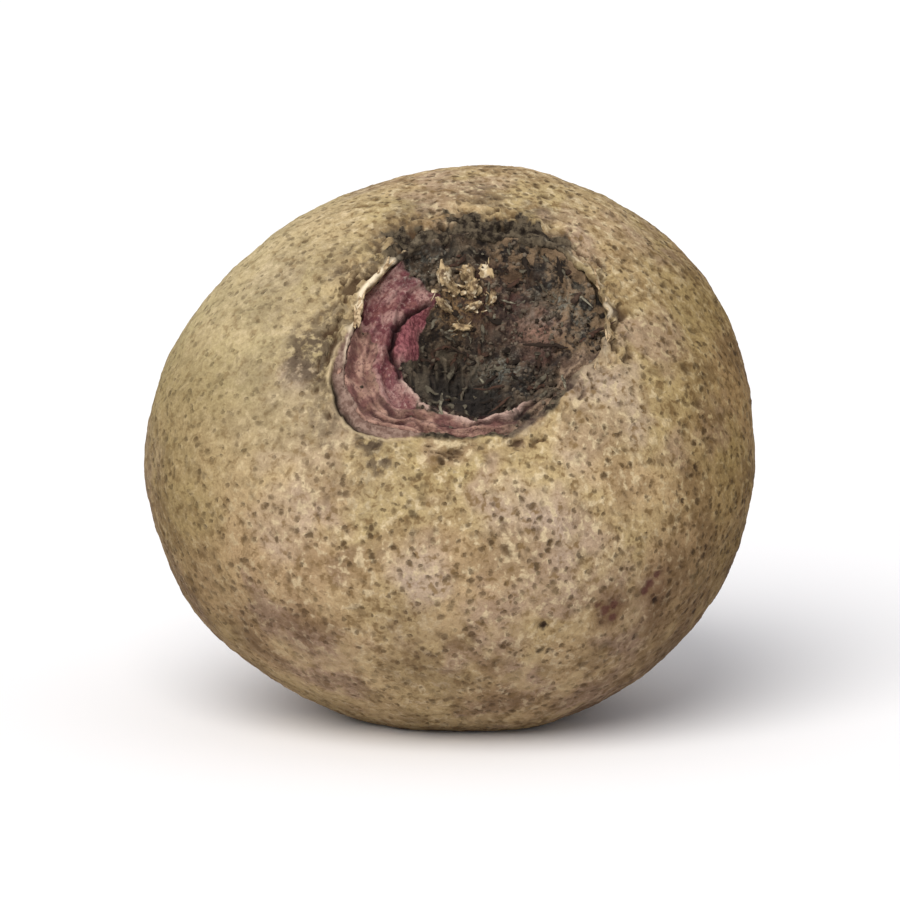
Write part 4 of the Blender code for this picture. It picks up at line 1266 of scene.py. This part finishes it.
# Dry root: tan and brown in blots a millimetre or so across, dull as twine.
wiry, tree, surface = new_material("dry fine root")
place = add(tree, "TexCoord").outputs["Object"]
blots = noise(tree, place, 0.0010, 3.0, 0.6)
colour = layered(tree, "#7a603f", ("#b99d74", (blots, 0.35, 0.65)))
normal = bumpy(tree, (noise(tree, place, 0.0004), 0.0001, 0.8))
plug(tree, surface, {"Base Color": colour, "Normal": normal, "Roughness": 0.85, "Specular IOR Level": 0.2})

new_piece("fine_roots", *threads(root_paths, root_radii, 12), wiry)
new_piece("root_hairs", *threads(hair_paths, hair_radii, 5), wiry)


# Dry fibres stand frayed out of the tips of the stalk stubs. They are the tough strands of each stalk, left
# over where it was twisted off.
FIBRE_SEED, FIBRE_COUNT = 41, 34
FIBRE_SPREAD, FIBRE_SINK = 0.0006, 0.0007
FIBRE_LENGTHS, FIBRE_RADII = (0.0006, 0.0015), (0.00005, 0.00013)
draw = np.random.default_rng(FIBRE_SEED)
tips = np.array(stub_tips)[draw.integers(0, STUB_COUNT, FIBRE_COUNT)]
starts = tips + draw.normal(0, FIBRE_SPREAD, (FIBRE_COUNT, 3)) * np.array([1, 1, 0.2])
starts = starts - np.array([0, 0, FIBRE_SINK])
ways = np.stack([*draw.normal(0, 0.45, (2, FIBRE_COUNT)), draw.uniform(0.35, 1.0, FIBRE_COUNT)], axis=1)
long = draw.uniform(*FIBRE_LENGTHS, FIBRE_COUNT)[:, None, None]
curl = draw.normal(0, 0.35, (FIBRE_COUNT, 1, 3))
fibre_paths = curled(starts, ways, curl, long, HAIR_STEPS)
fibre_radii = draw.uniform(*FIBRE_RADII, FIBRE_COUNT)[:, None] * (1 - 0.5 * HAIR_STEPS[:, :, 0])
new_piece("stalk_fibres", *threads(fibre_paths, fibre_radii, 6), straw_stalk)


# Flakes of skin stand up torn along the rim, and dry shreds of leaf stalk lie round the stubs: both are thin
# curled straps.
FLAKE_SEED, FLAKE_COUNT = 61, 24
FLAKE_SECTORS = ((-20, 52), (136, 174))
FLAKE_LENGTHS, FLAKE_RADII = (0.0008, 0.0026), (0.00010, 0.00026)
FLAKE_STRAY, FLAKE_KINK_SIZE, FLAKE_KINK = 0.00012, 0.0006, 0.00010
SHRED_SEED, SHRED_COUNT = 71, 18
SHRED_SPREAD, SHRED_LIFT = (0.0026, 0.0016), 0.0001
SHRED_LENGTHS, SHRED_RADII = (0.0008, 0.0022), (0.00022, 0.00052)
STRAP_STEPS = np.linspace(0, 1, 12)[None, :, None]
STRAP_FLATNESS = 0.35

draw = np.random.default_rng(FLAKE_SEED)
stretch = np.array(FLAKE_SECTORS, float)[draw.choice(2, FLAKE_COUNT, p=(0.65, 0.35))]
flake_turn = np.radians(draw.uniform(stretch[:, 0], stretch[:, 1]))
foot, _ = shoulder(np.zeros(FLAKE_COUNT), flake_turn)
outwards = around(1.0, flake_turn, 0 * flake_turn)
sideways = np.stack([-np.sin(flake_turn), np.cos(flake_turn), 0 * flake_turn], axis=1)
sideways *= draw.choice((-1.0, 1.0), FLAKE_COUNT)[:, None]
long = draw.uniform(*FLAKE_LENGTHS, FLAKE_COUNT)[:, None, None]
lift = draw.uniform(-0.05, 0.30, FLAKE_COUNT)[:, None, None] * np.array([0, 0, 1.0])
drift = draw.uniform(-0.25, 0.45, FLAKE_COUNT)[:, None, None]
path = sideways[:, None] * STRAP_STEPS + outwards[:, None] * drift * STRAP_STEPS**2 + lift * STRAP_STEPS**1.5
stray = outwards[:, None] * draw.normal(0, FLAKE_STRAY, FLAKE_COUNT)[:, None, None]
flake_paths = foot[:, None] + long * path + stray
flake_kinks = grain(flake_paths.reshape(-1, 3), FLAKE_KINK_SIZE, 350)
flake_paths += FLAKE_KINK * flake_kinks.reshape(FLAKE_COUNT, -1)[:, :, None]
swelling = np.sin(math.pi * np.clip(STRAP_STEPS[:, :, 0], 0.03, 0.97)) ** 0.6
flake_radii = draw.uniform(*FLAKE_RADII, FLAKE_COUNT)[:, None] * swelling

# Torn cork: pale cream on the fresh edge, tan where dust has settled.
torn_cork, tree, surface = new_material("torn edge of the skin")
place = add(tree, "TexCoord").outputs["Object"]
blots = noise(tree, place, 0.0009, 3.0, 0.6)
colour = layered(tree, "#7d6447", ("#c6ae8a", (blots, 0.36, 0.62)))
plug(tree, surface, {"Base Color": colour, "Roughness": 0.8, "Specular IOR Level": 0.25})
new_piece("torn_skin_flakes", *threads(flake_paths, flake_radii, 8, STRAP_FLATNESS), torn_cork)

draw = np.random.default_rng(SHRED_SEED)
at = np.array(MOUND_PLACE) + draw.normal(0, 1, (SHRED_COUNT, 2)) * np.array(SHRED_SPREAD)
shred_turn, shred_reach = np.arctan2(at[:, 1], at[:, 0]), np.hypot(at[:, 0], at[:, 1])
foot = crown_point(shred_reach, shred_turn, scar_top(shred_reach, shred_turn) + SHRED_LIFT)
heading = draw.uniform(0, 2 * math.pi, SHRED_COUNT)
ways = around(1.0, heading, draw.uniform(0.1, 0.9, SHRED_COUNT))
long = draw.uniform(*SHRED_LENGTHS, SHRED_COUNT)[:, None, None]
curl = draw.normal(0, 0.35, (SHRED_COUNT, 1, 3))
shred_paths = curled(foot, ways, curl, long, STRAP_STEPS, 0.2)
shred_radii = draw.uniform(*SHRED_RADII, SHRED_COUNT)[:, None] * swelling
new_piece("stalk_shreds", *threads(shred_paths, shred_radii, 10, STRAP_FLATNESS), straw_stalk)


# Scraps of rotted leaf bases lie curled all over the dark middle of the scar. Each is a thin strap of dead
# leaf, near black or red brown, and some of them have gone mouldy.
SCRAP_SEED, SCRAP_COUNT = 81, 190
SCRAP_LENGTH, SCRAP_RADII, SCRAP_FLATNESS, SCRAP_SIDES = 0.0030, (0.00014, 0.00042), 0.45, 10
SCRAP_KINK_SIZE, SCRAP_KINK = 0.0006, 0.00024
SCRAP_GRAIN_SIZE, SCRAP_GRAIN = 0.00042, 0.00011
draw = np.random.default_rng(SCRAP_SEED)
scrap_odds = rotten**4 * top * (shares < 0.93) * (1 - 0.6 * hollow_shade) * (1 - right_lump)
picked = draw.choice(len(scar_points), SCRAP_COUNT, replace=False, p=scrap_odds / scrap_odds.sum())
foot = scar_points[picked]
heading = turns[picked] + math.pi / 2 + draw.normal(0, 0.7, SCRAP_COUNT)
ways = around(1.0, heading, draw.uniform(-0.10, 0.35, SCRAP_COUNT))
ways[:, :2] *= draw.choice((-1.0, 1.0), SCRAP_COUNT)[:, None]
long = SCRAP_LENGTH * draw.uniform(0.25, 1.0, SCRAP_COUNT)[:, None, None] ** 1.5
curl = draw.normal(0, 0.55, (SCRAP_COUNT, 1, 3)) * np.array([1, 1, 0.3])
scrap_paths = curled(foot, ways, curl, long, STRAP_STEPS, 0.3)
scrap_paths += SCRAP_KINK * wander(scrap_paths, SCRAP_KINK_SIZE, 360)
scrap_radii = draw.uniform(*SCRAP_RADII, SCRAP_COUNT)[:, None] * swelling
scrap_radii *= 1 + 0.45 * grain(scrap_paths.reshape(-1, 3), 0.0004, 365).reshape(SCRAP_COUNT, -1)
scrap_shade = np.repeat(draw.random(SCRAP_COUNT), STRAP_STEPS.size * SCRAP_SIDES + 2)

# Rotted leaf: near black, dull red brown or mouldy grey green from scrap to scrap, with dark blots.
rotted_leaf, tree, surface = new_material("rotted leaf base")
place = add(tree, "TexCoord").outputs["Object"]
blots = noise(tree, place, 0.0008, 3.0, 0.6)
colour = layered(
    tree,
    "#1f1812",
    ("#4a3429", ("shade", 0.20, 0.42)),
    ("#5f584a", ("shade", 0.50, 0.60)),
    ("#8d8673", ("shade", 0.86, 0.97)),
    ("#2a211a", (blots, 0.40, 0.58, 0.80, 0.0)),
)
normal = bumpy(tree, (blots, 0.00020, 0.9))
plug(tree, surface, {"Base Color": colour, "Normal": normal, "Roughness": 0.9, "Specular IOR Level": 0.2})
points, faces = threads(scrap_paths, scrap_radii, SCRAP_SIDES, SCRAP_FLATNESS)
points += SCRAP_GRAIN * wander(points, SCRAP_GRAIN_SIZE, 370)
new_piece("rotted_leaf_scraps", points, faces, rotted_leaf, {"shade": scrap_shade})


# Crumbs of dry soil and rotted tissue lie loose all over the scar, most of them where mould has started.
# Each is a dented lump less than a millimetre across.
CRUMB_SEED, CRUMB_COUNT = 51, 520
CRUMB_COLUMNS, CRUMB_RINGS = 8, 5
CRUMB_SIZE, CRUMB_LIFT = 0.00034, 0.00008


def pebbles(places, sizes, seed):
    """Many small lumps: each a ball of a few rings, dented by smooth noise of its own."""
    counts = [1] + [CRUMB_COLUMNS] * CRUMB_RINGS + [1]
    turn = ring_turns(counts)
    polar = np.repeat(np.linspace(0, math.pi, len(counts)), counts)
    ball = around(np.sin(polar), turn, np.cos(polar))
    every = np.repeat(np.arange(len(places)), len(ball))
    unit = np.tile(ball, (len(places), 1))
    dent = 1 + 0.75 * grain(1.5 * unit + 7.3 * every[:, None], 1.0, seed)
    points = places[every] + unit * (sizes[every] * dent)[:, None]
    quads, triangles = ring_faces(counts)
    step = (np.arange(len(places)) * len(ball))[:, None, None]
    return points, ((quads + step).reshape(-1, 4), (triangles + step).reshape(-1, 3))


draw = np.random.default_rng(CRUMB_SEED)
loose = rotten * top * (shares < 0.97) * (0.35 + mould) * (1 - hollow_shade)
picked = draw.choice(len(scar_points), CRUMB_COUNT, replace=False, p=loose / loose.sum())
sizes = CRUMB_SIZE * draw.uniform(0.3, 1.0, CRUMB_COUNT) ** 1.6
places = scar_points[picked] + np.array([0, 0, CRUMB_LIFT])

# Dry soil: grey brown, paler and darker in blots, with no shine.
soil, tree, surface = new_material("dry soil crumb")
place = add(tree, "TexCoord").outputs["Object"]
blots = noise(tree, place, 0.0025, 3.0, 0.6)
colour = layered(tree, "#332921", ("#6d6153", (blots, 0.35, 0.65)))
plug(tree, surface, {"Base Color": colour, "Roughness": 0.95, "Specular IOR Level": 0.15})
new_piece("soil_crumbs", *pebbles(places, sizes, 330), soil)
